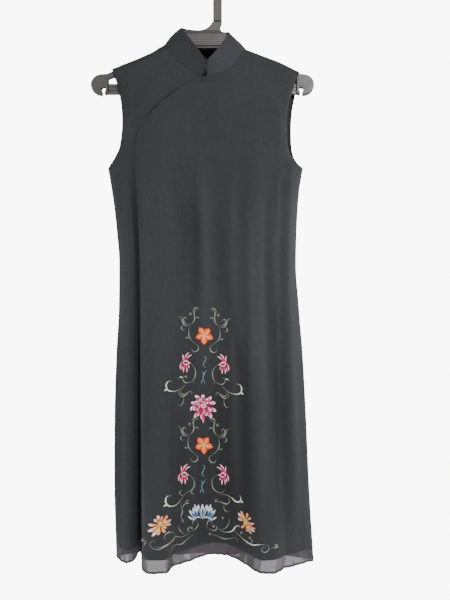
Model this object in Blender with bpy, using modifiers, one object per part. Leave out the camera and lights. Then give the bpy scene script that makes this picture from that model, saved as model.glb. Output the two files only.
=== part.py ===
"""Sleeveless cheongsam dress with a stand collar, hanging on a moulded hanger.

The origin is the inner top of the hanger's hook, where a rail holds it. +Z is up and the
front of the dress faces -Y. Tables and sizes are in millimetres; meshes are in metres.

The front and the back are each one master surface, a grid of points. Its columns follow
the folds from the hem up to the shoulders, and its rows are the levels of the garment.
Below the underarm each level is a section through the fold table. Above it the panel is
a Coons patch between the armholes, the neck and the shoulders. A panel is a range of the
master's columns with a Solidify wall.
"""
import math

import bmesh
import bpy
import numpy as np
from mathutils import Vector

MM = 0.001

# ---------------------------------------------------------------- driving sizes, mm
WALL = 1.5                # cloth, shell and lining together
LINING_WALL = 1.2
COLLAR_WALL = 2.0
SEAM_GAP = 0.3
SEAM_SHIFT = (WALL + SEAM_GAP) / 2   # of each panel's middle from the side seam
SAMPLES = 2               # columns for each gap of two fold lines
LAP = 3.0                 # depth of the side front under the placket's edge
UNDERARM_Z = -365.0
HEM_Z = -1153.0
HEM_BAND = 28.0           # single cloth below the lining
LINING_HEIGHT = 50.0      # the strip of lining that is built
SLIT_TOP_Z = -674.0       # side slit at the wearer's left
SLIT_OPEN = 4.0           # half of what the slit's edges stand apart at the hem
ARM_ROLL = 9.0            # radius of the cloth's turn over the hanger's arm
COLLAR_CORNER = 5.0       # rounding of the collar's front ends
COLLAR_COLUMNS = 41
COLLAR_ROWS = 5
COLLAR_SLIT = 5.0         # gap between the collar's front ends
COLLAR_LIFT = 2.0         # the collar's foot above the neck's edge
COLLAR_SWELL = 4.5
ROUND_POWER = 5           # how flat a section's middle is, as the power of its rounding
RIPPLE_TOP = 0.15         # share of the waist's ripple that is left at the underarm
RIPPLE_FADE_Z = -470.0    # the ripple is whole from here down
FOLD_GROWTH = 1.3         # power of a fold's growth from its start to the hem
EDGE_FOLD = 5             # the row of FRONT_FOLDS where the placket's edge runs on down
UNDERLAP_COLUMNS = 2      # of the skirt, past that fold, that belong to the side front too
UNDERLAP = 14.0           # the side front's reach under the placket
UNDERLAP_START = 0.15     # share of the placket over which that reach opens from nothing
UNDERLAP_FADE = 25.0      # width over which the side front sinks to lie under the placket
UNDERLAP_FAR = 31.0       # distance from the placket at which it starts to sink
EDGE_UP_WALL = 0.25       # of the way to its next column that the front's edge stands in the fold
LINING_LAP = 1.7 * LAP    # how much deeper the lining lies in that fold
LINING_FADE = 4           # columns over which it comes back from there
LINING_ROWS = 3
LINING_IN = 2.6           # from the middle of the shell to the middle of the lining
CURVE_STEPS = 16          # of a round curve, between two of its points
SNAP_INSET = 3.0          # from the placket's edge to a snap's middle
SNAP_CROWN = 0.6          # a snap's top radius as a share of its foot's
SNAP_SIDES = 12
SNAP_RADIUS = 2.2
SNAP_HEIGHT = 0.9
FASTENING_WIRE = 0.45
FASTENING_GAP = 0.9
FASTENING_REACH = 5.5
FASTENING_DROP = 3.0
FASTENING_FORWARD = 3.0
FASTENING_HEIGHT = 3.0
NECK_RISE = 0.6           # slope at which the shoulder lines would run on over the neck

# One row for each level: side seams (x and depth) and the flat middle of both panels.
LEVELS = (
    # z,      seam_left_x, seam_right_x, seam_left_y, seam_right_y, front_y, back_y
    (-365.0, -189.0, 199.0, 0.0, 0.0, -20.0, 18.0),
    (-412.0, -181.0, 191.5, 0.0, 0.0, -21.0, 19.0),
    (-476.0, -173.0, 187.0, 0.0, 0.0, -22.0, 20.0),
    (-556.0, -167.0, 185.0, 1.0, 0.0, -22.0, 21.0),
    (-640.0, -168.0, 191.0, 3.0, 1.0, -23.0, 23.0),
    (-740.0, -174.0, 199.0, 7.0, 2.0, -24.0, 27.0),
    (-860.0, -178.5, 205.5, 12.0, 4.0, -25.0, 34.0),
    (-1000.0, -180.0, 212.0, 17.0, 7.0, -26.0, 44.0),
    (HEM_Z, -177.0, 221.5, 22.0, 10.0, -27.0, 54.0),
)
LEVEL_Z, SEAM_L_X, SEAM_R_X, SEAM_L_Y, SEAM_R_Y, FRONT_Y, BACK_Y = range(7)

# Heights at which the fold tables give x.
FOLD_Z = (UNDERARM_Z, -556.0, -740.0, HEM_Z)

# One row for each fold line of the front, from the left seam to the right seam.
# x at the bust, waist, seat and hem; ripple at the waist; depth at the hem; start height.
FRONT_FOLDS = (
    # name,            bust,   waist,  seat,   hem,  ripple, hem_y, start_z
    ("seam left",     None,   None,   None,   None,   0.0,  22.0, -560.0),
    ("tube flank",    -180.0, -158.0, -163.0, -163.0, 0.0,   2.0, -560.0),
    ("tube crest",    -168.0, -150.0, -153.0, -151.5, -1.0, -3.0, -560.0),
    ("tube fall",     -154.0, -139.5, -141.5, -139.5, 3.0,   8.0, -520.0),
    ("valley side",   -145.0, -133.0, -133.0, -135.0, 6.0,  30.0, -460.0),
    ("valley",        -137.0, -128.5, -127.0, -131.5, 9.0,  42.0, -400.0),
    ("edge wall",     -133.0, -125.0, -123.5, -123.5, 2.0,   8.0, -440.0),
    ("edge",          -129.0, -121.0, -119.5, -114.5, -3.0, -35.0, -560.0),
    ("bulge left",    -116.0, -108.0, -104.0, -99.5, -3.0, -45.0, -560.0),
    ("bulge right",   -95.0,  -84.0,  -80.0,  -75.0, -1.0, -44.0, -560.0),
    ("bulge turn",    -78.0,  -66.0,  -66.0,  -65.0,  0.0, -38.0, -600.0),
    ("bulge fall",    -62.0,  -48.0,  -55.0,  -60.0,  2.0, -20.0, -620.0),
    ("slope left",    -36.0,  -22.0,  -27.0,  -26.0,  4.0,   5.0, -640.0),
    ("hollow left",   -10.0,   4.0,    3.0,    3.0,  -3.0,  28.0, -640.0),
    ("hollow",        14.0,   21.0,   22.5,   23.5,   0.0,  34.0, -640.0),
    ("hollow right",  36.0,   38.0,   42.0,   44.0,   4.0,  31.0, -640.0),
    ("slope right",   58.0,   59.0,   62.0,   64.5,  -1.0,  15.0, -640.0),
    ("crease",        78.0,   79.0,   82.0,   84.0,   3.0,  -8.0, -600.0),
    ("rise",          98.0,   97.0,  100.0,  102.0,  -2.0, -33.0, -560.0),
    ("ridge left",    116.0,  113.0,  114.0,  117.0, -4.0, -45.0, -520.0),
    ("ridge right",   134.0,  130.0,  131.0,  134.0,  3.0, -44.0, -520.0),
    ("ridge fall",    150.0,  144.0,  146.0,  150.5, -2.0, -35.0, -560.0),
    ("side dip",      162.0,  155.0,  158.0,  163.5,  0.0, -22.0, -560.0),
    ("side swell",    174.0,  166.0,  172.0,  182.0, -3.0, -14.0, -560.0),
    ("side flank",    188.0,  177.0,  187.0,  201.5,  0.0,  -4.0, -560.0),
    ("seam right",    None,   None,   None,   None,   0.0,  10.0, -560.0),
)

# The back's folds, softer, in the same columns.
BACK_FOLDS = (
    ("seam left",     None,   None,   None,   None,   0.0,  22.0, -560.0),
    ("flank left",    -178.0, -156.0, -160.0, -162.0, 0.0,  42.0, -560.0),
    ("ridge 1",       -150.0, -132.0, -133.0, -134.0, 3.0,  58.0, -520.0),
    ("ridge 2",       -126.0, -111.0, -112.0, -111.0, 0.0,  65.0, -560.0),
    ("fall 1",        -100.0, -88.0,  -88.0,  -88.0, -2.0,  60.0, -620.0),
    ("dip 1",         -70.0,  -62.0,  -62.0,  -62.0, -3.0,  56.0, -640.0),
    ("rise 2",        -40.0,  -34.0,  -34.0,  -34.0,  1.0,  61.0, -600.0),
    ("ridge 3",       -12.0,  -8.0,   -8.0,   -8.0,   3.0,  67.0, -560.0),
    ("fall 2",        16.0,   17.0,   17.0,   18.0,   1.0,  62.0, -600.0),
    ("dip 2",         44.0,   42.0,   42.0,   43.0,  -3.0,  57.0, -640.0),
    ("rise 3",        74.0,   69.0,   70.0,   71.0,  -1.0,  61.0, -600.0),
    ("ridge 4",       104.0,  97.0,   98.0,   99.0,   3.0,  67.0, -540.0),
    ("fall 3",        132.0,  122.0,  124.0,  126.0,  2.0,  60.0, -560.0),
    ("dip 3",         156.0,  143.0,  147.0,  152.0, -1.0,  50.0, -560.0),
    ("flank right",   180.0,  166.0,  173.0,  182.0,  0.0,  40.0, -560.0),
    ("flank end",     192.0,  177.0,  187.0,  204.0,  0.0,  25.0, -560.0),
    ("seam right",    None,   None,   None,   None,   0.0,  10.0, -560.0),
)
(FOLD_NAME, FOLD_BUST, FOLD_WAIST, FOLD_SEAT, FOLD_HEM,
 FOLD_RIPPLE, FOLD_HEM_Y, FOLD_START) = range(8)

# Edge curves of the upper panels, one row for each point: x, z.
ARMHOLE_LEFT = (
    (-181.0, -167.0), (-174.5, -184.0), (-167.0, -209.0), (-160.5, -244.0),
    (-159.0, -284.0), (-164.5, -325.0), (-176.0, -347.0), (-189.0, -365.0),
)
ARMHOLE_RIGHT = (
    (192.5, -173.5), (184.0, -192.0), (175.0, -221.0), (168.0, -248.0),
    (165.5, -286.0), (169.0, -328.0), (181.0, -351.0), (199.0, -365.0),
)
ARMHOLE_RIGHT_BACK = (
    (192.5, -173.5), (188.0, -190.0), (183.5, -221.0), (178.5, -250.0),
    (176.5, -288.0), (178.5, -328.0), (186.0, -350.0), (199.0, -365.0),
)
SHOULDER_LEFT = ((-181.0, -167.0), (-134.0, -148.5), (-100.0, -133.5), (-77.0, -119.0))
SHOULDER_RIGHT = ((86.0, -128.5), (114.0, -139.0), (152.0, -153.5), (192.5, -173.5))
NECK_FRONT = (
    # x, z from the left shoulder round the front to the right shoulder
    (-77.0, -119.0), (-67.0, -138.0), (-52.5, -158.0), (-34.0, -173.0), (-14.0, -186.0),
    (3.0, -193.0), (22.0, -188.5), (42.0, -181.0), (60.0, -167.0), (74.0, -147.0), (86.0, -128.5),
)
NECK_CENTRE_ROW = 5       # the row of NECK_FRONT where the placket starts
NECK_BACK = (
    (-77.0, -119.0), (-62.0, -125.0), (-36.0, -129.0), (3.0, -131.0),
    (44.0, -132.5), (70.0, -131.5), (86.0, -128.5),
)
PLACKET = (
    # x, z from the collar's foot down to the deep fold
    (3.0, -193.0), (-16.5, -199.5), (-43.0, -210.5), (-66.0, -227.5), (-92.0, -249.0),
    (-108.0, -269.0), (-121.0, -287.0), (-129.0, -312.0), (-134.0, -341.0), (-137.0, -365.0),
)
SNAP_PLACES = (0.22, 0.44, 0.64, 0.74, 0.86)   # along the placket, collar to fold

# Depth of the chest and of the upper back, one row for each height: at the armholes, in the
# middle, and what the neck adds.
CHEST_DEPTH = (
    # z, at the armhole, front middle, back middle
    (-100.0, 9.0, 17.0, 18.0), (-180.0, 9.0, 18.0, 18.0), (-230.0, 10.5, 19.0, 18.0),
    (-290.0, 11.0, 20.0, 18.0), (-330.0, 8.5, 20.0, 18.0), (-365.0, 0.9, 20.0, 18.0),
)
CHEST_Z, ARMHOLE_DEPTH, FRONT_DEPTH, BACK_DEPTH = range(4)
NECK_PUSH = 8.0           # how far the collar holds the neck's edge out
NECK_PUSH_REACH = 55.0
NECK_PUSH_FRONT = (3.0, -190.0)
NECK_PUSH_BACK = (3.0, -128.0)

# The collar's top edge: x, y and z above each row of its foot.
COLLAR_TOP = (
    # share along the band, x, y, z
    (0.00, 5.0, -25.0, -158.0), (0.05, -4.0, -24.0, -143.0), (0.10, -13.0, -21.0, -130.0),
    (0.17, -27.0, -15.0, -110.0), (0.25, -43.0, -4.0, -86.0), (0.32, -38.0, 8.0, -83.0),
    (0.42, -12.0, 15.0, -84.0), (0.50, 4.0, 16.0, -85.0), (0.58, 22.0, 15.0, -86.0),
    (0.68, 43.0, 9.0, -90.0), (0.76, 51.0, -3.0, -94.0), (0.83, 43.0, -13.0, -113.0),
    (0.90, 32.0, -19.0, -131.0), (0.95, 23.0, -23.0, -144.0), (1.00, 10.5, -25.0, -158.0),
)

# Row spacing: from the shoulders down to the underarm (shares), then heights down the skirt.
UPPER_ROWS = (0.0, 0.012, 0.035, 0.08, 0.16, 0.28, 0.41, 0.54, 0.67, 0.79, 0.90, 1.0)
NECK_ROWS = (0.0, 0.05, 0.14, 0.34, 0.65)      # of them, those beside the neck, as its shares
LOWER_ROWS = (-365.0, -410.0, -465.0, -530.0, -600.0, -670.0, -740.0, -820.0, -900.0,
              -985.0, -1065.0, -1125.0, HEM_Z)

# ---------------------------------------------------------------- hanger sizes, mm
HANGER_X = -1.0           # the hanger's middle
ARM_HALF_DEPTH = 5.0
PLATE_BEVEL = 2.0
WEB_HALF_DEPTH = 2.0
RIM = 5.0
BAR_TOP_Z = -197.0
BAR_BOTTOM_Z = -217.0
BAR_HALF_DEPTH = 3.5
BAR_GROOVES = (6.0, 13.0)     # from the bar's top down to each groove
GROOVE_WIDTH = 2.0
GROOVE_DEPTH = 1.5
STEM_X = 29.0
STEM_WIDTH = 18.0
STEM_FOOT_Z = -72.0
HOOK_HALF_DEPTH = 4.0
HOOK_RADIUS = 29.0        # centreline
HOOK_END = 175.0          # degrees round from the stem's side to the tip
ARM_TOP = (
    # distance from the middle, height of the arm's top, height of its underside
    (0.0, -91.0, -126.0), (24.0, -92.5, -127.5), (42.0, -104.0, -132.0), (60.0, -117.0, -140.0),
    (78.0, -127.5, -149.0), (98.0, -137.5, -157.0), (133.0, -152.5, -169.0),
    (162.0, -164.0, -179.0), (190.0, -176.5, -188.0),
)
OUTLINE_TOPS = (48.0, 60.0, 78.0, 98.0, 133.0, 162.0, 190.0)   # distances along the arm's top
OUTLINE_UNDERS = (162.0, 133.0, 98.0, 78.0, 60.0, 42.0, 24.0)
POCKET_PLACES = (20.0, 48.0, 76.0, 100.0, 140.0)               # along the web's pocket
END_CENTRE = (202.0, -198.5)   # the round end plate
END_RADIUS = 21.0
END_ARC = (84.0, -105.0)  # degrees, from its top round to its foot
END_INNER = 187.0
NOTCH_CENTRE = (197.0, -208.0)
NOTCH_RADIUS = 5.0
NOTCH_ARC = (-60.0, 240.0)
CUT_PAST = 5.0            # how far a cutter runs past what it cuts
NECK_LEFT = ((-14.0, -90.5), (-4.0, -89.5), (4.0, -87.5), (10.5, -83.5), (16.0, -78.0))
NECK_RIGHT = ((38.0, -76.0), (35.0, -82.0), (34.5, -86.0), (36.5, -91.0))


# ---------------------------------------------------------------- curves and grids
def smooth(knots, values, t):
    """Smooth curve through the values at the knots, with no overshoot (harmonic slopes)."""
    knots = np.asarray(knots, float)
    values = np.asarray(values, float)
    t = np.clip(np.asarray(t, float), knots[0], knots[-1])
    flat = values.ndim == 1
    if flat:
        values = values[:, None]
    step = np.diff(knots)[:, None]
    rise = np.diff(values, axis=0) / step
    slope = np.zeros_like(values)
    slope[0], slope[-1] = rise[0], rise[-1]
    same = rise[:-1] * rise[1:] > 0
    total = rise[:-1] + rise[1:]
    slope[1:-1] = np.where(same, 2 * rise[:-1] * rise[1:] / np.where(same, total, 1), 0)
    i = np.clip(np.searchsorted(knots, t, side="right") - 1, 0, len(knots) - 2)
    h = step[i]
    s = ((t - knots[i])[..., None]) / h
    out = ((1 + 2 * s) * (1 - s) ** 2 * values[i] + s * (1 - s) ** 2 * h * slope[i]
           + s ** 2 * (3 - 2 * s) * values[i + 1] + s ** 2 * (s - 1) * h * slope[i + 1])
    return out[..., 0] if flat else out


def round_curve(points, shares):
    """Catmull-Rom curve through the points, read at shares of its own length."""
    p = np.asarray(points, float)
    ends = np.vstack((2 * p[0] - p[1], p, 2 * p[-1] - p[-2]))
    fine = []
    for a, b, c, d in zip(ends[:-3], ends[1:-2], ends[2:-1], ends[3:]):
        s = np.linspace(0, 1, CURVE_STEPS, endpoint=False)[:, None]
        fine.append(0.5 * (2 * b + (c - a) * s + (2 * a - 5 * b + 4 * c - d) * s ** 2
                           + (3 * b - a - 3 * c + d) * s ** 3))
    fine = np.vstack(fine + [p[-1:]])
    length = np.concatenate(([0], np.cumsum(np.linalg.norm(np.diff(fine, axis=0), axis=1))))
    place = np.asarray(shares) * length[-1]
    return np.column_stack([np.interp(place, length, fine[:, k]) for k in range(p.shape[1])])


def level(column, z):
    """One column of LEVELS at the heights z."""
    table = np.array(LEVELS)[::-1]
    return smooth(table[:, LEVEL_Z], table[:, column], z)


def skirt_section(folds, z, columns, side):
    """One level of a panel below the underarm: x and y at each column.

    side is -1 for the front and +1 for the back.
    """
    seam_x = (level(SEAM_L_X, z), level(SEAM_R_X, z))
    seam_y = (level(SEAM_L_Y, z), level(SEAM_R_Y, z))
    flat_y = level(FRONT_Y if side < 0 else BACK_Y, z)
    hem_flat = LEVELS[-1][FRONT_Y if side < 0 else BACK_Y]
    fade = float(smooth((HEM_Z, RIPPLE_FADE_Z, UNDERARM_Z), (1.0, 1.0, RIPPLE_TOP), z))
    x, y = [], []
    for k, row in enumerate(folds):
        if row[FOLD_HEM] is None:
            end = 0 if k == 0 else 1
            x.append(seam_x[end])
            y.append(seam_y[end] + side * SEAM_SHIFT)
            continue
        heights = FOLD_Z[::-1]
        places = (row[FOLD_HEM], row[FOLD_SEAT], row[FOLD_WAIST], row[FOLD_BUST])
        here = float(smooth(heights, places, z))
        across = (here - seam_x[0]) / (seam_x[1] - seam_x[0])
        seam = seam_y[0] + (seam_y[1] - seam_y[0]) * across + side * SEAM_SHIFT
        rounding = math.sqrt(1 - abs(2 * across - 1) ** ROUND_POWER)
        ripple = row[FOLD_RIPPLE] * fade
        lens = seam + (flat_y - seam) * rounding
        fall = max(0.0, (row[FOLD_START] - z) / (row[FOLD_START] - HEM_Z))
        growth = fall ** FOLD_GROWTH
        x.append(here)
        y.append(lens + ripple * (1 - growth) + (row[FOLD_HEM_Y] - hem_flat) * growth
                 + (hem_flat - lens) * growth * growth)
    rows = np.column_stack((x, y))
    return smooth(np.arange(len(folds)), rows, columns)


def coons(top, bottom, left, right):
    """Coons patch between four edges of x and z; rows run from top to bottom."""
    v = np.array(UPPER_ROWS)[:, None, None]
    u = [np.concatenate(([0], np.cumsum(np.linalg.norm(np.diff(edge, axis=0), axis=1))))
         for edge in (top, bottom)]
    u = (1 - v) * (u[0] / u[0][-1])[None, :, None] + v * (u[1] / u[1][-1])[None, :, None]
    ruled_v = (1 - v) * top[None] + v * bottom[None]
    ruled_u = (1 - u) * left[:, None] + u * right[:, None]
    corners = ((1 - u) * (1 - v) * top[0] + u * (1 - v) * top[-1]
               + (1 - u) * v * bottom[0] + u * v * bottom[-1])
    return ruled_v + ruled_u - corners


def shoulder_height(x):
    """Height of the shoulder line at x; over the neck both lines run on up to their meeting."""
    left = np.array(SHOULDER_LEFT)
    right = np.array(SHOULDER_RIGHT)
    both = np.concatenate((left, right))
    outer = np.interp(x, both[:, 0], both[:, 1])
    from_left = left[-1, 1] + NECK_RISE * (x - left[-1, 0])
    from_right = right[0, 1] + NECK_RISE * (right[0, 0] - x)
    over_neck = (x > left[-1, 0]) & (x < right[0, 0])
    return np.where(over_neck, np.minimum(from_left, from_right), outer)


def chest_depth(x, z, side):
    """Depth of the upper front (side -1) or back (+1) from the middle plane, at x and z."""
    table = np.array(CHEST_DEPTH)[::-1]
    armhole = smooth(table[:, CHEST_Z], table[:, ARMHOLE_DEPTH], z)
    middle = smooth(table[:, CHEST_Z], table[:, FRONT_DEPTH if side < 0 else BACK_DEPTH], z)
    left = np.array(ARMHOLE_LEFT)[::-1]
    right = np.array(ARMHOLE_RIGHT if side < 0 else ARMHOLE_RIGHT_BACK)[::-1]
    x_left = smooth(left[:, 1], left[:, 0], z)
    x_right = smooth(right[:, 1], right[:, 0], z)
    across = np.clip((x - x_left) / (x_right - x_left), 0, 1)
    rounding = np.sqrt(1 - np.abs(2 * across - 1) ** ROUND_POWER)
    push_x, push_z = NECK_PUSH_FRONT if side < 0 else NECK_PUSH_BACK
    away = np.hypot(x - push_x, z - push_z) / NECK_PUSH_REACH
    depth = armhole + (middle - armhole) * rounding + NECK_PUSH * np.exp(-away ** 2)
    drop = np.maximum(shoulder_height(x) - z, 0)
    turn = ARM_ROLL - np.minimum(drop, ARM_ROLL)
    roll = np.sqrt(ARM_ROLL ** 2 - turn ** 2) + np.maximum(drop - ARM_ROLL, 0)
    return np.maximum(np.minimum(roll, depth), 2 * SEAM_GAP)


def with_depth(patch, side):
    """A patch of x and z with its depth as y."""
    y = side * chest_depth(patch[..., 0], patch[..., 1], side)
    return np.stack((patch[..., 0], y, patch[..., 1]), axis=-1)


def skirt(folds, side):
    """The lower part of a panel as rows x columns x 3."""
    columns = np.linspace(0, len(folds) - 1, (len(folds) - 1) * SAMPLES + 1)
    rows = []
    for z in LOWER_ROWS:
        section = skirt_section(folds, z, columns, side)
        rows.append(np.column_stack((section, np.full(len(columns), z))))
    return np.array(rows)


def shoulder_and_neck(shoulder, neck, count):
    """A top edge from the shoulder tip to the neck's far end, with a column on their corner."""
    lengths = [np.linalg.norm(np.diff(np.array(part), axis=0), axis=1).sum()
               for part in (shoulder, neck)]
    first = round((count - 1) * lengths[0] / sum(lengths))
    shoulder_run = round_curve(shoulder, np.linspace(0, 1, first + 1))
    neck_run = round_curve(neck, np.linspace(0, 1, count - first))
    return np.vstack((shoulder_run, neck_run[1:]))


def front_panel(lower):
    """Main front: the placket and the neck are its left edge, the shoulder its top."""
    bottom = lower[0][:, (0, 2)]
    rows = np.array(UPPER_ROWS)
    neck = round_curve(NECK_FRONT[NECK_CENTRE_ROW:][::-1], NECK_ROWS)
    below = np.linspace(0, 1, len(rows) - len(NECK_ROWS))
    left = np.vstack((neck, round_curve(PLACKET, below)))
    left[-1] = bottom[0]
    right = round_curve(ARMHOLE_RIGHT, rows)
    right[-1] = bottom[-1]
    top = round_curve(SHOULDER_RIGHT, np.linspace(0, 1, len(bottom)))
    upper = with_depth(coons(top, bottom, left, right), -1)
    return np.concatenate((upper[:-1], lower))


def underlap_edge(rows):
    """The placket's line moved under the front, from nothing at the neck."""
    line = round_curve(PLACKET, rows)
    along = np.gradient(line, axis=0)
    along /= np.linalg.norm(along, axis=1, keepdims=True)
    beside = np.column_stack((-along[:, 1], along[:, 0]))
    reach = UNDERLAP * np.minimum(1, np.array(rows) / UNDERLAP_START)
    return line + beside * reach[:, None]


def side_panel(lower):
    """Side front: shoulder and neck are its top, the hidden underlap its right edge."""
    bottom = lower[0][:, (0, 2)]
    rows = np.array(UPPER_ROWS)
    left = round_curve(ARMHOLE_LEFT, rows)
    left[-1] = bottom[0]
    right = underlap_edge(rows)
    right[-1] = bottom[-1]
    top = shoulder_and_neck(SHOULDER_LEFT, NECK_FRONT[:NECK_CENTRE_ROW + 1], len(bottom))
    upper = with_depth(coons(top, bottom, left, right), -1)
    return np.concatenate((upper[:-1], lower))


def back_panel(lower):
    """The back: left shoulder, neck and right shoulder are its top."""
    bottom = lower[0][:, (0, 2)]
    rows = np.array(UPPER_ROWS)
    left = round_curve(ARMHOLE_LEFT, rows)
    right = round_curve(ARMHOLE_RIGHT_BACK, rows)
    left[-1], right[-1] = bottom[0], bottom[-1]
    middle = len(bottom) // 2
    half = len(NECK_BACK) // 2
    top_left = shoulder_and_neck(SHOULDER_LEFT, NECK_BACK[:half + 1], middle + 1)
    top_right = shoulder_and_neck(SHOULDER_RIGHT[::-1], NECK_BACK[half:][::-1],
                                  len(bottom) - middle)[::-1]
    top = np.vstack((top_left, top_right[1:]))
    upper = with_depth(coons(top, bottom, left, right), 1)
    return np.concatenate((upper[:-1], lower))


def normals(grid):
    """Unit normals of a grid of points, rows running down and columns to the right."""
    down = np.gradient(grid, axis=0)
    across = np.gradient(grid, axis=1)
    n = np.cross(across, down)
    return n / np.maximum(np.linalg.norm(n, axis=2, keepdims=True), 1e-9)


# ---------------------------------------------------------------- objects
COLLECTION = None


def start():
    """Clears the scene and makes the collection for the dress."""
    global COLLECTION
    for obj in list(bpy.data.objects):
        bpy.data.objects.remove(obj, do_unlink=True)
    COLLECTION = bpy.data.collections.new("cheongsam_dress")
    bpy.context.scene.collection.children.link(COLLECTION)


def material(name, colour, roughness, metallic=0.0):
    """A Principled material, made once."""
    found = bpy.data.materials.get(name)
    if found:
        return found
    made = bpy.data.materials.new(name)
    made.use_nodes = True
    shader = made.node_tree.nodes["Principled BSDF"]
    shader.inputs["Base Color"].default_value = (*colour, 1.0)
    shader.inputs["Roughness"].default_value = roughness
    shader.inputs["Metallic"].default_value = metallic
    return made


def add_object(name, mesh, mat):
    """Puts a mesh into the collection as a named object."""
    obj = bpy.data.objects.new(name, mesh)
    mesh.materials.append(mat)
    COLLECTION.objects.link(obj)
    return obj


def sheet(name, grid, wall, mat):
    """A wall of cloth: an open grid of quads with a Solidify wall centred on it."""
    rows, cols = grid.shape[:2]
    index = np.arange(rows * cols).reshape(rows, cols)
    quads = np.stack((index[:-1, :-1], index[1:, :-1], index[1:, 1:], index[:-1, 1:]), axis=-1)
    mesh = bpy.data.meshes.new(name)
    mesh.from_pydata((grid.reshape(-1, 3) * MM).tolist(), [], quads.reshape(-1, 4).tolist())
    mesh.update()
    mesh.shade_smooth()
    obj = add_object(name, mesh, mat)
    solid = obj.modifiers.new("wall", "SOLIDIFY")
    solid.thickness = wall * MM
    solid.offset = 0.0
    solid.use_even_offset = False
    solid.use_rim = True
    return obj


def between_rows(lower, z_top, z_bottom, rows):
    """A skirt's surface read again at even heights."""
    heights = np.array(LOWER_ROWS)[::-1]
    flat = lower[::-1].reshape(len(heights), -1)
    return smooth(heights, flat, np.linspace(z_top, z_bottom, rows)).reshape(rows, -1, 3)


# ---------------------------------------------------------------- the dress
def build_front(cloth, lining):
    """Main front, side front with its underlap, and the front's lining strip."""
    lower = skirt(FRONT_FOLDS, -1)
    edge = EDGE_FOLD * SAMPLES
    main = front_panel(lower[:, edge:])
    below = slice(len(UPPER_ROWS), None)
    main[below, 0] += EDGE_UP_WALL * (main[below, 1] - main[below, 0])
    open_slit(main[:, -1], -1)
    sheet("front", main, WALL, cloth)
    last = edge + UNDERLAP_COLUMNS
    under = smooth((0, edge - 3, edge - 1, len(lower[0])), (0, 0, 1, 1), np.arange(len(lower[0])))
    side = side_panel(lower[:, :last + 1])
    inward = normals(side)
    inward[:len(UPPER_ROWS)] = (0, 1, 0)
    inward[:, 0] = 0
    beside = np.ones(len(side))[:, None] * under[None, :last + 1]
    beside[:len(UPPER_ROWS)] = near_placket(side[:len(UPPER_ROWS)])
    side += inward * (LAP * beside)[..., None]
    sheet("front_side", side, WALL, cloth)
    knots = (0, last, last + LINING_FADE, len(lower[0]))
    beyond = smooth(knots, (1, 1, 0, 0), np.arange(len(lower[0])))
    hang_lining("lining_front", lower, LINING_LAP * under * beyond, lining)
    return main, side


def near_placket(patch):
    """1 along the placket and beyond it, falling to 0 on the side front's own side."""
    line = round_curve(PLACKET, np.linspace(0, 1, len(PLACKET) * CURVE_STEPS))
    away = patch[..., None, (0, 2)] - line
    distance = np.linalg.norm(away, axis=-1)
    nearest = np.argmin(distance, axis=-1)
    along = np.gradient(line, axis=0)[nearest]
    offset = np.take_along_axis(away, nearest[..., None, None], axis=-2)[..., 0, :]
    beyond = along[..., 0] * offset[..., 1] - along[..., 1] * offset[..., 0] > 0
    near = np.clip((UNDERLAP_FAR - distance.min(axis=-1)) / UNDERLAP_FADE, 0, 1)
    return np.where(beyond, 1.0, near)


def build_back(cloth, lining):
    """The back and its lining strip."""
    lower = skirt(BACK_FOLDS, 1)
    hang_lining("lining_back", lower[:, ::-1], np.zeros(len(lower[0])), lining)
    panel = back_panel(lower)
    open_slit(panel[:, -1], 1)
    sheet("back", panel[:, ::-1], WALL, cloth)
    return panel


def open_slit(edge, side):
    """Parts the slit's edges below its top."""
    fall = np.clip((SLIT_TOP_Z - edge[:, 2]) / (SLIT_TOP_Z - HEM_Z), 0, 1)
    edge[:, 1] += side * SLIT_OPEN * np.sqrt(fall)


def hang_lining(name, lower, extra, mat):
    """The lowest stretch of the lining, inside a panel and clear of its side seams."""
    foot = HEM_Z + HEM_BAND
    strip = between_rows(lower, foot + LINING_HEIGHT, foot, LINING_ROWS)
    strip = strip + normals(strip) * (LINING_IN + extra)[None, :, None]
    sheet(name, strip[:, 1:-1], LINING_WALL, mat)


def nearest_column(row, x, z):
    """The column of a row of points that is nearest to x and z."""
    return int(np.argmin(np.hypot(row[:, 0] - x, row[:, 2] - z)))


def build_collar(main, side, back, cloth):
    """One standing band from the front's left end, round the back, to its right end."""
    left = side[0, nearest_column(side[0], *NECK_FRONT[0]):][::-1]
    right = main[:len(NECK_ROWS) + 1, 0]
    first, last = (nearest_column(back[0], *NECK_BACK[k]) for k in (0, -1))
    ring = np.vstack((left[:-1], back[0, first:last + 1], right[1:]))
    shares = np.linspace(0, 1, COLLAR_COLUMNS)
    foot = round_curve(ring, shares)
    foot[0, 0] -= COLLAR_SLIT / 2
    foot[-1, 0] += COLLAR_SLIT / 2
    table = np.array(COLLAR_TOP)
    top = smooth(table[:, 0], table[:, 1:], shares)
    height = np.linalg.norm(top - foot, axis=1)
    around = np.concatenate(([0], np.cumsum(np.linalg.norm(np.diff(foot, axis=0), axis=1))))
    to_end = np.minimum(around, around[-1] - around)
    corner = np.clip(1 - to_end / COLLAR_CORNER, 0, 1)
    reach = 1 - COLLAR_CORNER / height * (1 - np.sqrt(1 - corner ** 2))
    up = (top - foot) / height[:, None]
    foot = foot + up * COLLAR_LIFT
    rise = np.linspace(0, 1, COLLAR_ROWS)[:, None, None]
    grid = foot[None] + rise * (up * (height * reach - COLLAR_LIFT)[:, None])[None]
    out = np.cross(np.gradient(foot, axis=0), up)
    out /= np.linalg.norm(out, axis=1, keepdims=True)
    grid += out[None] * COLLAR_SWELL * np.sin(np.pi * rise)
    sheet("collar", grid[::-1], COLLAR_WALL, cloth)


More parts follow.
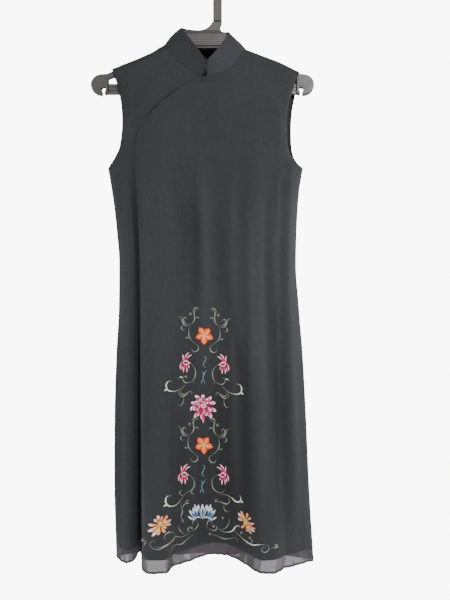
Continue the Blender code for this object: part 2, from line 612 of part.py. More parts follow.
def placket_point(share):
    """A point just inside the placket's edge and the cloth's outward direction there."""
    x, z = round_curve(PLACKET, (share,))[0]
    ahead = round_curve(PLACKET, (share + 0.02,))[0] - (x, z)
    ahead /= np.linalg.norm(ahead)
    x -= ahead[1] * SNAP_INSET
    z += ahead[0] * SNAP_INSET
    step = 2.0
    here = chest_depth(x, z, -1)
    slope_x = (chest_depth(x + step, z, -1) - here) / step
    slope_z = (chest_depth(x, z + step, -1) - here) / step
    outward = np.array([-slope_x, -1.0, -slope_z])
    return np.array([x, -float(here), z]), outward / np.linalg.norm(outward)


def build_snaps(mat):
    """Press studs: a small turned cap on the placket at each of its fastenings."""
    for number, share in enumerate(SNAP_PLACES, 1):
        point, outward = placket_point(share)
        mesh = bpy.data.meshes.new("snap")
        bm = bmesh.new()
        bmesh.ops.create_cone(bm, cap_ends=True, segments=SNAP_SIDES, depth=SNAP_HEIGHT * MM,
                              radius1=SNAP_RADIUS * MM, radius2=SNAP_CROWN * SNAP_RADIUS * MM)
        bm.to_mesh(mesh)
        bm.free()
        obj = add_object(f"placket_snap_{number}", mesh, mat)
        away = WALL / 2 + 2 * SEAM_GAP + SNAP_HEIGHT / 2
        obj.location = [c * MM for c in point + outward * away]
        obj.rotation_mode = "QUATERNION"
        obj.rotation_quaternion = Vector(outward).to_track_quat("Z", "Y")


def wire(name, points, radius, mat, closed=False):
    """A bent wire: a POLY curve with a round bevel, made a mesh with welded caps."""
    curve = bpy.data.curves.new(name, "CURVE")
    curve.dimensions = "3D"
    curve.bevel_depth = radius * MM
    curve.bevel_resolution = 2
    curve.use_fill_caps = True
    spline = curve.splines.new("POLY")
    spline.points.add(len(points) - 1)
    spline.use_cyclic_u = closed
    for target, point in zip(spline.points, points):
        target.co = (*[c * MM for c in point], 1.0)
    return curve_to_object(name, curve, mat)


def curve_to_object(name, curve, mat):
    """The mesh of a curve, welded, as an object of its own."""
    holder = bpy.data.objects.new(name + "_curve", curve)
    bpy.context.scene.collection.objects.link(holder)
    bpy.context.view_layer.update()
    evaluated = holder.evaluated_get(bpy.context.evaluated_depsgraph_get())
    mesh = bpy.data.meshes.new_from_object(evaluated)
    mesh.materials.clear()
    bpy.data.objects.remove(holder)
    bm = bmesh.new()
    bm.from_mesh(mesh)
    bmesh.ops.remove_doubles(bm, verts=bm.verts, dist=0.00001)
    bm.to_mesh(mesh)
    bm.free()
    return add_object(name, mesh, mat)


def build_collar_fastening(mat):
    """A small wire hook and eye across the collar's foot."""
    x0, z0 = NECK_FRONT[NECK_CENTRE_ROW]
    y = -float(chest_depth(x0, z0, -1)) - FASTENING_FORWARD
    for name, side in (("collar_hook", -1), ("collar_eye", 1)):
        near = x0 + side * FASTENING_GAP
        far = x0 + side * FASTENING_REACH
        top = z0 - FASTENING_DROP
        foot = top - FASTENING_HEIGHT
        middle = (top + foot) / 2
        points = [(near, y, top), (far, y, top), (far + side, y, middle), (far, y, foot),
                  (near, y, foot)]
        wire(name, points, FASTENING_WIRE, mat)


# ---------------------------------------------------------------- the hanger
def flat_plate(name, outline, half_depth, mat, bevel=0.0):
    """A flat outline in x and z as a plate about y = 0, from a filled 2D curve."""
    curve = bpy.data.curves.new(name, "CURVE")
    curve.dimensions = "2D"
    curve.fill_mode = "BOTH"
    curve.extrude = (half_depth - bevel) * MM
    curve.bevel_depth = bevel * MM
    curve.bevel_resolution = 0
    curve.offset = -bevel * MM
    spline = curve.splines.new("POLY")
    spline.points.add(len(outline) - 1)
    spline.use_cyclic_u = True
    for target, (x, z) in zip(spline.points, outline):
        target.co = (x * MM, z * MM, 0.0, 1.0)
    obj = curve_to_object(name, curve, mat)
    for vertex in obj.data.vertices:
        x, z, y = vertex.co
        vertex.co = (x, -y, z)
    return obj


def arc(centre, radius, start, end, steps):
    """Points of an arc in x and z, angles in degrees from +X towards +Z."""
    angles = np.radians(np.linspace(start, end, steps))
    return [(centre[0] + radius * math.cos(a), centre[1] + radius * math.sin(a)) for a in angles]


def arm_heights(distance):
    """Top and underside of the hanger's arm at a distance from its middle."""
    table = np.array(ARM_TOP)
    return smooth(table[:, 0], table[:, 1:], distance)


def half_outline():
    """The right half of the shoulder piece from beside the neck round to its underside."""
    tops = [(d, arm_heights(d)[0]) for d in OUTLINE_TOPS]
    end = arc(END_CENTRE, END_RADIUS, *END_ARC, 12)
    inner = [(END_INNER, BAR_BOTTOM_Z), (END_INNER, arm_heights(END_INNER)[1])]
    under = [(d, arm_heights(d)[1]) for d in OUTLINE_UNDERS]
    return tops + end + inner + under


def hanger_outline():
    """The whole shoulder piece: neck up to the stem, arms and round ends."""
    half = half_outline()
    right = [(HANGER_X + d, z) for d, z in half]
    left = [(HANGER_X - d, z) for d, z in half[::-1]]
    stem = [(STEM_X - STEM_WIDTH / 2, STEM_FOOT_Z - SEAM_GAP),
            (STEM_X + STEM_WIDTH / 2, STEM_FOOT_Z - SEAM_GAP)]
    return right + left + list(NECK_LEFT) + stem + list(NECK_RIGHT)


def cut(obj, cutter):
    """Takes the cutter away from the object and removes it."""
    boolean = obj.modifiers.new("cut", "BOOLEAN")
    boolean.operation = "DIFFERENCE"
    boolean.solver = "EXACT"
    boolean.object = cutter
    bpy.context.view_layer.update()
    evaluated = obj.evaluated_get(bpy.context.evaluated_depsgraph_get())
    mesh = bpy.data.meshes.new_from_object(evaluated)
    obj.modifiers.remove(boolean)
    obj.data = mesh
    bpy.data.objects.remove(cutter)


def build_hanger(plastic):
    """Moulded shoulder piece with webbed arms and strap notches, its bar and its hook."""
    hanger = flat_plate("hanger_shoulders", hanger_outline(), ARM_HALF_DEPTH, plastic, PLATE_BEVEL)
    for face in (-1, 1):
        pocket = flat_plate("pocket", web_outline(), ARM_HALF_DEPTH, plastic)
        pocket.location.y = face * (ARM_HALF_DEPTH + WEB_HALF_DEPTH) * MM
        cut(hanger, pocket)
    for side in (-1, 1):
        x = HANGER_X + side * NOTCH_CENTRE[0]
        notch = [(x + dx, z) for dx, z in notch_outline()]
        cut(hanger, flat_plate("notch", notch, 2 * ARM_HALF_DEPTH, plastic))
    bar = flat_plate("hanger_bar", bar_outline(), BAR_HALF_DEPTH, plastic)
    for face in (-1, 1):
        for drop in BAR_GROOVES:
            groove = flat_plate("groove", groove_outline(BAR_TOP_Z - drop), GROOVE_DEPTH, plastic)
            groove.location.y = face * BAR_HALF_DEPTH * MM
            cut(bar, groove)
    flat_plate("hanger_hook", hook_outline(), HOOK_HALF_DEPTH, plastic, PLATE_BEVEL)


def web_outline():
    """The pocket between the rims of both arms, in one run below the neck."""
    tops = [(d, arm_heights(d)[0] - RIM) for d in POCKET_PLACES]
    under = [(d, arm_heights(d)[1] + RIM) for d in POCKET_PLACES]
    right_top = [(HANGER_X + d, z) for d, z in tops]
    right_under = [(HANGER_X + d, z) for d, z in under[::-1]]
    left_under = [(HANGER_X - d, z) for d, z in under]
    left_top = [(HANGER_X - d, z) for d, z in tops[::-1]]
    return right_top + right_under + left_under + left_top


def notch_outline():
    """A strap notch: a round hole with a slot out of the plate's underside."""
    below = END_CENTRE[1] - END_RADIUS - CUT_PAST
    half = NOTCH_RADIUS / 2
    ring = arc((0.0, NOTCH_CENTRE[1]), NOTCH_RADIUS, *NOTCH_ARC, 9)
    return ring + [(-half, below), (half, below)]


def bar_outline():
    """The bar between the end plates."""
    reach = END_INNER - SEAM_GAP
    return [(HANGER_X - reach, BAR_BOTTOM_Z), (HANGER_X + reach, BAR_BOTTOM_Z),
            (HANGER_X + reach, BAR_TOP_Z), (HANGER_X - reach, BAR_TOP_Z)]


def groove_outline(z):
    """One groove between the bar's ridges, with its top at z."""
    reach = END_INNER + CUT_PAST
    return [(HANGER_X - reach, z - GROOVE_WIDTH), (HANGER_X + reach, z - GROOVE_WIDTH),
            (HANGER_X + reach, z), (HANGER_X - reach, z)]


def hook_outline():
    """Stem and hook: two arcs about the same centre with a round tip."""
    centre = (STEM_X - HOOK_RADIUS, -HOOK_RADIUS + STEM_WIDTH / 2)
    half = STEM_WIDTH / 2
    outer = arc(centre, HOOK_RADIUS + half, 0, HOOK_END, 15)
    inner = arc(centre, HOOK_RADIUS - half, HOOK_END, 0, 13)
    turn = math.radians(HOOK_END)
    tip_centre = (centre[0] + HOOK_RADIUS * math.cos(turn), centre[1] + HOOK_RADIUS * math.sin(turn))
    tip = arc(tip_centre, half, HOOK_END, HOOK_END + 180, 7)[1:-1]
    foot = [(STEM_X - half, STEM_FOOT_Z), (STEM_X + half, STEM_FOOT_Z)]
    return outer + tip + inner + foot


def main():
    start()
    cloth = material("georgette", (0.045, 0.05, 0.057), 0.85)
    lining = material("lining", (0.02, 0.021, 0.024), 0.6)
    clear = material("snap_plastic", (0.55, 0.56, 0.6), 0.3)
    plastic = material("hanger_plastic", (0.11, 0.10, 0.10), 0.45)
    steel = material("hook_steel", (0.45, 0.45, 0.47), 0.35, 1.0)
    main_front, side_front = build_front(cloth, lining)
    back = build_back(cloth, lining)
    build_collar(main_front, side_front, back, cloth)
    build_snaps(clear)
    build_collar_fastening(steel)
    build_hanger(plastic)


main()
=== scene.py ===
import math

import bpy
import numpy as np
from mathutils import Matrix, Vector


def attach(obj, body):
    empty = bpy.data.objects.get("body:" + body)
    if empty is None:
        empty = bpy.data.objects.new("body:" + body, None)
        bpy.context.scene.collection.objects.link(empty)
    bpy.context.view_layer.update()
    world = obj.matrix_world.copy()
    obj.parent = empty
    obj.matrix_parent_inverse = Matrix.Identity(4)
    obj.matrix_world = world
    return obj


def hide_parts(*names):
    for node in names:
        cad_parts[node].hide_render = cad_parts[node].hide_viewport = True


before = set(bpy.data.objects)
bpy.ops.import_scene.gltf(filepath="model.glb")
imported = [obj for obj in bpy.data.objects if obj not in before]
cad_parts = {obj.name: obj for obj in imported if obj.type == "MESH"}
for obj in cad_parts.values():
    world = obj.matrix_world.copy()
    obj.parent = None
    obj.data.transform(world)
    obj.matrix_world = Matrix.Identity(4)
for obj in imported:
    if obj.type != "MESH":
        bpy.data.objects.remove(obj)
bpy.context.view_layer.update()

MM = 0.001
TINY = 1e-9               # keeps a division by a length of nothing whole

# ---------------------------------------------------------------- sizes of the frame's cloth
WALL = 1.5                # the frame's cloth, on whose middle these shells lie
SEAM_GAP = 0.3            # between two solids at a seam
SEAM_SHIFT = (WALL + SEAM_GAP) / 2
LAP = 3.0                 # depth of the side front under the placket's edge
UNDERARM_Z = -365.0
HEM_Z = -1153.0
HEM_BAND = 28.0           # single cloth below the lining
SLIT_TOP_Z = -674.0
SLIT_OPEN = 4.0           # how far each of its edges stands off at the hem
ARM_ROLL = 9.0            # radius of the cloth's turn over the hanger's arm
COLLAR_CORNER = 5.0       # radius of the band's upper corners
COLLAR_SLIT = 10.0        # width of the gap between its ends, at the foot
COLLAR_SLIT_REACH = 0.025  # share of the band over which its ends draw back for it
COLLAR_LIFT = 0.6         # of its foot off the neck's edge
COLLAR_SWELLS = (
    # share along the band, how far its middle stands out
    (0, -1), (0.1, -1), (0.17, 0.8), (0.25, 2.6), (0.32, 2.8), (0.42, 1.5), (0.5, 1), (0.68, 1),
    (0.76, 0.8), (0.83, 0.4), (0.9, -1), (1, -1),
)
ROUND_POWER = 5           # how square a panel's section is: 2 would be an oval
RIPPLE_TOP = 0.15         # share of a fold's ripple that is left at the underarm
RIPPLE_FADE_Z = -470.0    # the ripple is whole below this height
FOLD_GROWTH = 1.3         # power with which a fold deepens towards the hem
UNDERLAP = 14.0           # width of the side front under the placket's edge
UNDERLAP_START = 0.15     # share of the placket over which it reaches that width
UNDERLAP_FAR = 31.0       # from the placket, where the side front starts to sink under it
UNDERLAP_FADE = 25.0      # distance over which it sinks
UNDERLAP_FOLDS = 1        # of the skirt, past the edge's fold, that belong to the side front too
UNDER_START, UNDER_END = 1.5, 0.5   # folds before the edge's over which what lies under it sinks
EDGE_UP_WALL = 0.125      # of a fold's width that the front's edge stands up its wall
EDGE_UP_REACH = 45.0      # height below the underarm over which it climbs there
LINING_LAP = 1.7 * LAP    # how much deeper the lining lies under the placket's fold
LINING_FADE = 2           # folds over which the lining comes back from the deep fold
LINING_IN = 2.6           # how far the lining lies inside the shell
LINING_HEIGHT = 50.0      # of the strip that shows through the sheer band
LINING_ROWS = 14
NECK_RISE = 0.6           # slope of the shoulder lines where they run on over the neck
NECK_PUSH = 8.0           # how far the collar holds the neck's edge out
NECK_PUSH_REACH = 55.0
NECK_PUSH_FRONT = (3.0, -190.0)     # x and z of its middle
NECK_PUSH_BACK = (3.0, -128.0)

# ---------------------------------------------------------------- sizes of the finer cloth
SHELL = 0.9               # thickness of the opaque cloth, shell and lining pressed together
SHEER = 0.35              # the single cloth of the hem band
COLLAR_THICK = 1.9
COLLAR_BEVEL, COLLAR_BEVEL_ANGLE = 0.45, 50.0
LINING_THICK = 0.7
FACING_THICK = 0.4
FOLD_STEPS = 8            # columns for each gap of two fold lines
UPPER_STEPS = 9           # rows for each row of the upper panel
SKIRT_STEP = 5.2          # height of a row of the skirt
CURVE_STEPS = 16          # points worked out between two given ones on a curve
BAND_ROWS = 9
BAND_FALL = 0.7           # power with which the sheer band's gathers grow down it
CORD_SIDES = 8
ROLL = (2.3, 1.1)         # half height and half depth of the rolled hem
EDGE = (0.75, 0.75)       # of a turned and stitched edge
SEAM = (0.95, 0.95)       # of a pressed seam
SEAM_POINTS = 50          # along a shoulder
NECK_POINTS = 200         # along the collar's seam
SEAM_SINK = 0.35          # of the shoulder seams into the cloth
BACK_DIP = 13.0           # how far the back's hem hangs below the side seams
DIP_ROUND = 0.7
DIP_FROM_Z = -900.0
# Gathers of the sheer band: wave length, height and phase.
GATHERS = ((17.0, 0.6, 0.0), (11.3, 0.3, 1.3), (31.0, 1.2, 2.2))
GATHER_EDGE = 8.0         # from each edge, over which they fade in
GATHER_DRIFT, DRIFT_WAVE = 2.0, 31.0        # how their phase wanders across, in radians
GATHER_LEAN, LEAN_WAVE, LEAN_GROWTH = 0.35, 47.0, 11        # and how it turns down the band
BLEND_REACH = 34.0        # height over which the upper panel runs smoothly into the skirt
BLEND_TURNS = 60
PLACKET_POINTS = 120      # along the placket, for distances from it

# One row for each level: side seams (x and depth) and the flat middle of both panels.
LEVELS = (
    # z,      seam_left_x, seam_right_x, seam_left_y, seam_right_y, front_y, back_y
    (-365, -189, 199, 0, 0, -20, 18),
    (-412, -181, 191.5, 0, 0, -21, 19),
    (-476, -173, 187, 0, 0, -22, 20),
    (-556, -167, 185, 1, 0, -22, 21),
    (-640, -168, 191, 3, 1, -23, 23),
    (-740, -174, 199, 7, 2, -24, 27),
    (-860, -178.5, 205.5, 12, 4, -25, 34),
    (-1000, -180, 212, 17, 7, -26, 44),
    (HEM_Z, -177, 221.5, 22, 10, -27, 54),
)
LEVEL_Z, SEAM_L_X, SEAM_R_X, SEAM_L_Y, SEAM_R_Y, FRONT_Y, BACK_Y = range(7)
FOLD_Z = (UNDERARM_Z, -556.0, -740.0, HEM_Z)

# One row for each fold line: its name, x at the bust, waist, seat and hem, ripple at the waist,
# depth at the hem, and the height where the fold starts.
FRONT_FOLDS = (
    ("seam left", None, None, None, None, 0, 22, -560),
    ("tube flank", -180, -158, -163, -163, 0, 2, -560),
    ("tube crest", -168, -150, -153, -151.5, -1, -3, -560),
    ("tube fall", -154, -139.5, -141.5, -139.5, 3, 8, -520),
    ("valley side", -145, -133, -133, -135, 6, 30, -460),
    ("valley", -137, -128.5, -127, -131.5, 9, 42, -400),
    ("edge wall", -133, -125, -123.5, -123.5, 2, 8, -440),
    ("edge", -129, -121, -119.5, -114.5, -3, -35, -560),
    ("bulge left", -116, -108, -104, -99.5, -3, -45, -560),
    ("bulge right", -95, -84, -80, -75, -1, -44, -560),
    ("bulge turn", -78, -66, -66, -65, 0, -38, -600),
    ("bulge fall", -62, -48, -55, -60, 2, -20, -620),
    ("slope left", -36, -22, -27, -26, 4, 5, -640),
    ("hollow left", -10, 4, 3, 3, -3, 28, -640),
    ("hollow", 14, 21, 22.5, 23.5, 0, 34, -640),
    ("hollow right", 36, 38, 42, 44, 4, 31, -640),
    ("slope right", 58, 59, 62, 64.5, -1, 15, -640),
    ("crease", 78, 79, 82, 84, 3, -8, -600),
    ("rise", 98, 97, 100, 102, -2, -33, -560),
    ("ridge left", 116, 113, 114, 117, -4, -45, -520),
    ("ridge right", 134, 130, 131, 134, 3, -44, -520),
    ("ridge fall", 150, 144, 146, 150.5, -2, -35, -560),
    ("side dip", 162, 155, 158, 163.5, 0, -22, -560),
    ("side swell", 174, 166, 172, 182, -3, -14, -560),
    ("side flank", 188, 177, 187, 201.5, 0, -4, -560),
    ("seam right", None, None, None, None, 0, 10, -560),
)
BACK_FOLDS = (
    ("seam left", None, None, None, None, 0, 22, -560),
    ("flank left", -178, -156, -160, -162, 0, 42, -560),
    ("ridge 1", -150, -132, -133, -134, 3, 58, -520),
    ("ridge 2", -126, -111, -112, -111, 0, 65, -560),
    ("fall 1", -100, -88, -88, -88, -2, 60, -620),
    ("dip 1", -70, -62, -62, -62, -3, 56, -640),
    ("rise 2", -40, -34, -34, -34, 1, 61, -600),
    ("ridge 3", -12, -8, -8, -8, 3, 67, -560),
    ("fall 2", 16, 17, 17, 18, 1, 62, -600),
    ("dip 2", 44, 42, 42, 43, -3, 57, -640),
    ("rise 3", 74, 69, 70, 71, -1, 61, -600),
    ("ridge 4", 104, 97, 98, 99, 3, 67, -540),
    ("fall 3", 132, 122, 124, 126, 2, 60, -560),
    ("dip 3", 156, 143, 147, 152, -1, 50, -560),
    ("flank right", 180, 166, 173, 182, 0, 40, -560),
    ("flank end", 192, 177, 187, 204, 0, 25, -560),
    ("seam right", None, None, None, None, 0, 10, -560),
)
(FOLD_NAME, FOLD_BUST, FOLD_WAIST, FOLD_SEAT, FOLD_HEM,
 FOLD_RIPPLE, FOLD_HEM_Y, FOLD_START) = range(8)
LAST_FOLD = len(FRONT_FOLDS) - 1
EDGE_FOLD = [row[FOLD_NAME] for row in FRONT_FOLDS].index("valley")      # the main front starts there
SIDE_LAST = EDGE_FOLD + UNDERLAP_FOLDS

# Edge curves of the upper panels, one row for each point: x, z.
ARMHOLE_LEFT = (
    (-181, -167), (-174.5, -184), (-167, -209), (-160.5, -244), (-159, -284), (-164.5, -325),
    (-176, -347), (-189, -365),
)
ARMHOLE_RIGHT = (
    (192.5, -173.5), (184, -192), (175, -221), (168, -248), (165.5, -286), (169, -328), (181, -351),
    (199, -365),
)
ARMHOLE_RIGHT_BACK = (
    (192.5, -173.5), (188, -190), (183.5, -221), (178.5, -250), (176.5, -288), (178.5, -328),
    (186, -350), (199, -365),
)
SHOULDER_LEFT = ((-181.0, -167.0), (-134.0, -148.5), (-100.0, -133.5), (-77.0, -119.0))
SHOULDER_RIGHT = ((86.0, -128.5), (114.0, -139.0), (152.0, -153.5), (192.5, -173.5))
NECK_FRONT = (
    (-77, -119), (-67, -138), (-52.5, -158), (-34, -173), (-14, -186), (3, -193), (22, -188.5),
    (42, -181), (60, -167), (74, -147), (86, -128.5),
)
NECK_CENTRE_ROW = 5
NECK_BACK = (
    (-77, -119), (-62, -125), (-36, -129), (3, -131), (44, -132.5), (70, -131.5), (86, -128.5),
)
PLACKET = (
    (3, -193), (-16.5, -199.5), (-43, -210.5), (-66, -227.5), (-92, -249), (-108, -269), (-121, -287),
    (-129, -312), (-134, -341), (-137, -365),
)
CHEST_DEPTH = (
    # z, at the armhole, front middle, back middle
    (-100, 9, 17, 18), (-180, 9, 18, 18), (-230, 10.5, 19, 18), (-290, 11, 20, 18), (-330, 8.5, 20, 18),
    (-365, 0.9, 20, 18),
)
CHEST_Z, ARMHOLE_DEPTH, FRONT_DEPTH, BACK_DEPTH = range(4)
COLLAR_TOP = (
    # share along the band, x, y, z
    (0, 6.3, -25, -158), (0.05, -4, -24, -143), (0.1, -13, -21, -130), (0.17, -27, -15, -110),
    (0.25, -43, -4, -86), (0.32, -38, 8, -81), (0.42, -12, 15, -80.6), (0.5, 4, 16, -81.8),
    (0.58, 22, 15, -83.6), (0.68, 43, 9, -88), (0.76, 51, -3, -94), (0.83, 43, -13, -113),
    (0.9, 32, -19, -131), (0.95, 22, -23, -144), (1, 9.2, -25, -158),
)
UPPER_ROWS = (0.0, 0.012, 0.035, 0.08, 0.16, 0.28, 0.41, 0.54, 0.67, 0.79, 0.90, 1.0)
NECK_ROWS = (0.0, 0.05, 0.14, 0.34, 0.65, 1.0)

# ---------------------------------------------------------------- the view
EYE = (44.0, -1050.0, -628.0)
VIEW_HEIGHT = 1200.0      # seen at the hanger's plane
FLOOR_Z = -1500.0


# ---------------------------------------------------------------- curves and grids
def smooth(knots, values, t):
    """Curve through the values at the knots with harmonic-mean slopes, so without overshoot."""
    knots = np.asarray(knots, float)
    values = np.asarray(values, float)
    t = np.clip(np.asarray(t, float), knots[0], knots[-1])
    flat = values.ndim == 1
    if flat:
        values = values[:, None]
    step = np.diff(knots)[:, None]
    slope = slopes(np.diff(values, axis=0) / step)
    i = np.clip(np.searchsorted(knots, t, side="right") - 1, 0, len(knots) - 2)
    distance = (t - knots[i])[..., None]
    out = hermite(values[i], values[i + 1], slope[i], slope[i + 1], step[i], distance)
    return out[..., 0] if flat else out


def slopes(rise):
    """Slopes at the knots from the rises between them: their harmonic mean, or 0 at a turn."""
    slope = np.zeros((rise.shape[0] + 1,) + rise.shape[1:])
    slope[0], slope[-1] = rise[0], rise[-1]
    same = rise[:-1] * rise[1:] > 0
    total = rise[:-1] + rise[1:]
    slope[1:-1] = np.where(same, 2 * rise[:-1] * rise[1:] / np.where(same, total, 1), 0)
    return slope


def hermite(a, b, slope_a, slope_b, h, distance):
    """Cubic between a and b with the given slopes, at a distance from a."""
    s = distance / h
    return ((1 + 2 * s) * (1 - s) ** 2 * a + s * (1 - s) ** 2 * h * slope_a
            + s ** 2 * (3 - 2 * s) * b + s ** 2 * (s - 1) * h * slope_b)


def smooth_rows(values, columns):
    """Row by row, the smooth curve through values[row, knot], read at columns[row, column]."""
    knots = values.shape[1]
    slope = np.moveaxis(slopes(np.moveaxis(np.diff(values, axis=1), 1, 0)), 0, 1)
    i = np.clip(np.floor(columns).astype(int), 0, knots - 2)
    row = np.arange(len(values))[:, None]
    return hermite(values[row, i], values[row, i + 1], slope[row, i], slope[row, i + 1],
                   1.0, (columns - i)[..., None])


def round_curve(points, shares):
    """Catmull-Rom curve through the points, read at shares of its own length."""
    p = np.asarray(points, float)
    ends = np.vstack((2 * p[0] - p[1], p, 2 * p[-1] - p[-2]))
    a, b, c, d = (ends[k:len(ends) - 3 + k, None] for k in range(4))
    s = np.linspace(0, 1, CURVE_STEPS, endpoint=False)[None, :, None]
    fine = 0.5 * (2 * b + (c - a) * s + (2 * a - 5 * b + 4 * c - d) * s ** 2
                  + (3 * b - a - 3 * c + d) * s ** 3)
    fine = np.vstack((fine.reshape(-1, p.shape[1]), p[-1:]))
    place = lengths(fine)
    at = np.asarray(shares) * place[-1]
    return np.column_stack([np.interp(at, place, fine[:, k]) for k in range(p.shape[1])])


def lengths(line):
    """Distance along a line of points, from its first."""
    return np.concatenate(([0.0], np.cumsum(np.linalg.norm(np.diff(line, axis=0), axis=1))))


def normals(grid):
    """Unit normals of a grid of points, rows running down and columns to the right."""
    n = np.cross(np.gradient(grid, axis=1), np.gradient(grid, axis=0))
    return n / np.maximum(np.linalg.norm(n, axis=2, keepdims=True), TINY)


def level(column, z):
    """One column of LEVELS at the heights z."""
    table = np.array(LEVELS)[::-1]
    return smooth(table[:, LEVEL_Z], table[:, column], z)


# ---------------------------------------------------------------- the skirt
def skirt(folds, side, z, columns):
    """Points of a panel below the underarm, rows x columns x 3.

    Each fold line has x from its table and y = lens + ripple at the top, turning with a
    power of the fall below its start into its own depth at the hem; lens is the section's
    flat middle, rounded off towards the seams. A row is the smooth curve through the lines.
    side is -1 for the front and +1 for the back; columns counts fold lines, row by row.
    """
    seam_x = (level(SEAM_L_X, z), level(SEAM_R_X, z))
    seam_y = (level(SEAM_L_Y, z), level(SEAM_R_Y, z))
    middle = FRONT_Y if side < 0 else BACK_Y
    flat_y = level(middle, z)
    hem_flat = LEVELS[-1][middle]
    fade = smooth((HEM_Z, RIPPLE_FADE_Z, UNDERARM_Z), (1.0, 1.0, RIPPLE_TOP), z)
    lines = []
    for k, row in enumerate(folds):
        if row[FOLD_HEM] is None:
            end = 0 if k == 0 else 1
            lines.append(np.stack((seam_x[end], seam_y[end] + side * SEAM_SHIFT), axis=-1))
            continue
        places = (row[FOLD_HEM], row[FOLD_SEAT], row[FOLD_WAIST], row[FOLD_BUST])
        x = smooth(FOLD_Z[::-1], places, z)
        across = (x - seam_x[0]) / (seam_x[1] - seam_x[0])
        seam = seam_y[0] + (seam_y[1] - seam_y[0]) * across + side * SEAM_SHIFT
        lens = seam + (flat_y - seam) * np.sqrt(1 - np.abs(2 * across - 1) ** ROUND_POWER)
        fall = np.maximum(0, (row[FOLD_START] - z) / (row[FOLD_START] - HEM_Z))
        growth = fall ** FOLD_GROWTH
        y = (lens + row[FOLD_RIPPLE] * fade * (1 - growth) + (row[FOLD_HEM_Y] - hem_flat) * growth
             + (hem_flat - lens) * growth * growth)
        lines.append(np.stack((x, y), axis=-1))
    section = smooth_rows(np.stack(lines, axis=1), columns)
    height = np.broadcast_to(z[:, None, None], section.shape[:2] + (1,))
    return np.concatenate((section, height), axis=-1)


SKIRT_Z = np.linspace(UNDERARM_Z, HEM_Z, round((UNDERARM_Z - HEM_Z) / SKIRT_STEP) + 1)


def even_columns(first, last, z, edge_up=0.0):
    """Fold-line counts for every row; edge_up moves the first one up its wall from the bust."""
    steps = np.linspace(0, 1, (last - first) * FOLD_STEPS + 1)
    low = first + edge_up * np.clip((UNDERARM_Z - z) / EDGE_UP_REACH, 0, 1)[:, None]
    return low + (last - low) * steps[None]


def open_slit(panel, side):
    """Parts the slit's edges below its top, over the last half fold of the panel."""
    edge = panel[:, -1]
    fall = np.clip((SLIT_TOP_Z - edge[:, 2]) / (SLIT_TOP_Z - HEM_Z), 0, 1)
    near = np.clip(1 - np.arange(panel.shape[1])[::-1] / (FOLD_STEPS / 2), 0, 1)
    panel[..., 1] += side * SLIT_OPEN * np.sqrt(fall)[:, None] * near[None]


# ---------------------------------------------------------------- the upper panels
def shoulder_height(x):
    """Height of the shoulder line at x; over the neck both lines run on up to their meeting."""
    left, right = np.array(SHOULDER_LEFT), np.array(SHOULDER_RIGHT)
    both = np.concatenate((left, right))
    outer = np.interp(x, both[:, 0], both[:, 1])
    from_left = left[-1, 1] + NECK_RISE * (x - left[-1, 0])
    from_right = right[0, 1] + NECK_RISE * (right[0, 0] - x)
    over_neck = (x > left[-1, 0]) & (x < right[0, 0])
    return np.where(over_neck, np.minimum(from_left, from_right), outer)


def chest_depth(x, z, side):
    """Depth of the upper front or back at x and z.

    It is the armhole's depth rising to the middle's by a high-power round, plus a soft dome
    where the collar holds the neck out, and it rolls over the hanger's arm in a quarter turn.
    """
    table = np.array(CHEST_DEPTH)[::-1]
    armhole = smooth(table[:, CHEST_Z], table[:, ARMHOLE_DEPTH], z)
    middle = smooth(table[:, CHEST_Z], table[:, FRONT_DEPTH if side < 0 else BACK_DEPTH], z)
    left = np.array(ARMHOLE_LEFT)[::-1]
    right = np.array(ARMHOLE_RIGHT if side < 0 else ARMHOLE_RIGHT_BACK)[::-1]
    x_left = smooth(left[:, 1], left[:, 0], z)
    x_right = smooth(right[:, 1], right[:, 0], z)
    across = np.clip((x - x_left) / (x_right - x_left), 0, 1)
    rounding = np.sqrt(1 - np.abs(2 * across - 1) ** ROUND_POWER)
    push_x, push_z = NECK_PUSH_FRONT if side < 0 else NECK_PUSH_BACK
    away = np.hypot(x - push_x, z - push_z) / NECK_PUSH_REACH
    depth = armhole + (middle - armhole) * rounding + NECK_PUSH * np.exp(-away ** 2)
    drop = np.maximum(shoulder_height(x) - z, 0)
    turn = ARM_ROLL - np.minimum(drop, ARM_ROLL)
    roll = np.sqrt(ARM_ROLL ** 2 - turn ** 2) + np.maximum(drop - ARM_ROLL, 0)
    return np.maximum(np.minimum(roll, depth), 2 * SEAM_GAP)


UPPER_INDEX = np.linspace(0, len(UPPER_ROWS) - 1, (len(UPPER_ROWS) - 1) * UPPER_STEPS + 1)
UPPER_SHARE = smooth(np.arange(len(UPPER_ROWS)), UPPER_ROWS, UPPER_INDEX)
UNDERARM_ROW = len(UPPER_INDEX) - 1
SLIT_ROW, BAND_ROW = (UNDERARM_ROW + int(np.argmin(np.abs(SKIRT_Z - z)))
                      for z in (SLIT_TOP_Z, HEM_Z + HEM_BAND))


def coons(top, bottom, left, right):
    """Coons patch of x and z between four edges, its rows at UPPER_SHARE from top to bottom."""
    v = UPPER_SHARE[:, None, None]
    along = [lengths(edge) for edge in (top, bottom)]
    u = ((1 - v) * (along[0] / along[0][-1])[None, :, None]
         + v * (along[1] / along[1][-1])[None, :, None])
    corners = ((1 - u) * (1 - v) * top[0] + u * (1 - v) * top[-1]
               + (1 - u) * v * bottom[0] + u * v * bottom[-1])
    return ((1 - v) * top[None] + v * bottom[None]
            + (1 - u) * left[:, None] + u * right[:, None] - corners)


def upper(top, bottom, left, right, side):
    """A Coons patch of x and z with its chest depth as y."""
    left[-1], right[-1] = bottom[0], bottom[-1]
    patch = coons(top, bottom, left, right)
    y = side * chest_depth(patch[..., 0], patch[..., 1], side)
    return np.stack((patch[..., 0], y, patch[..., 1]), axis=-1)


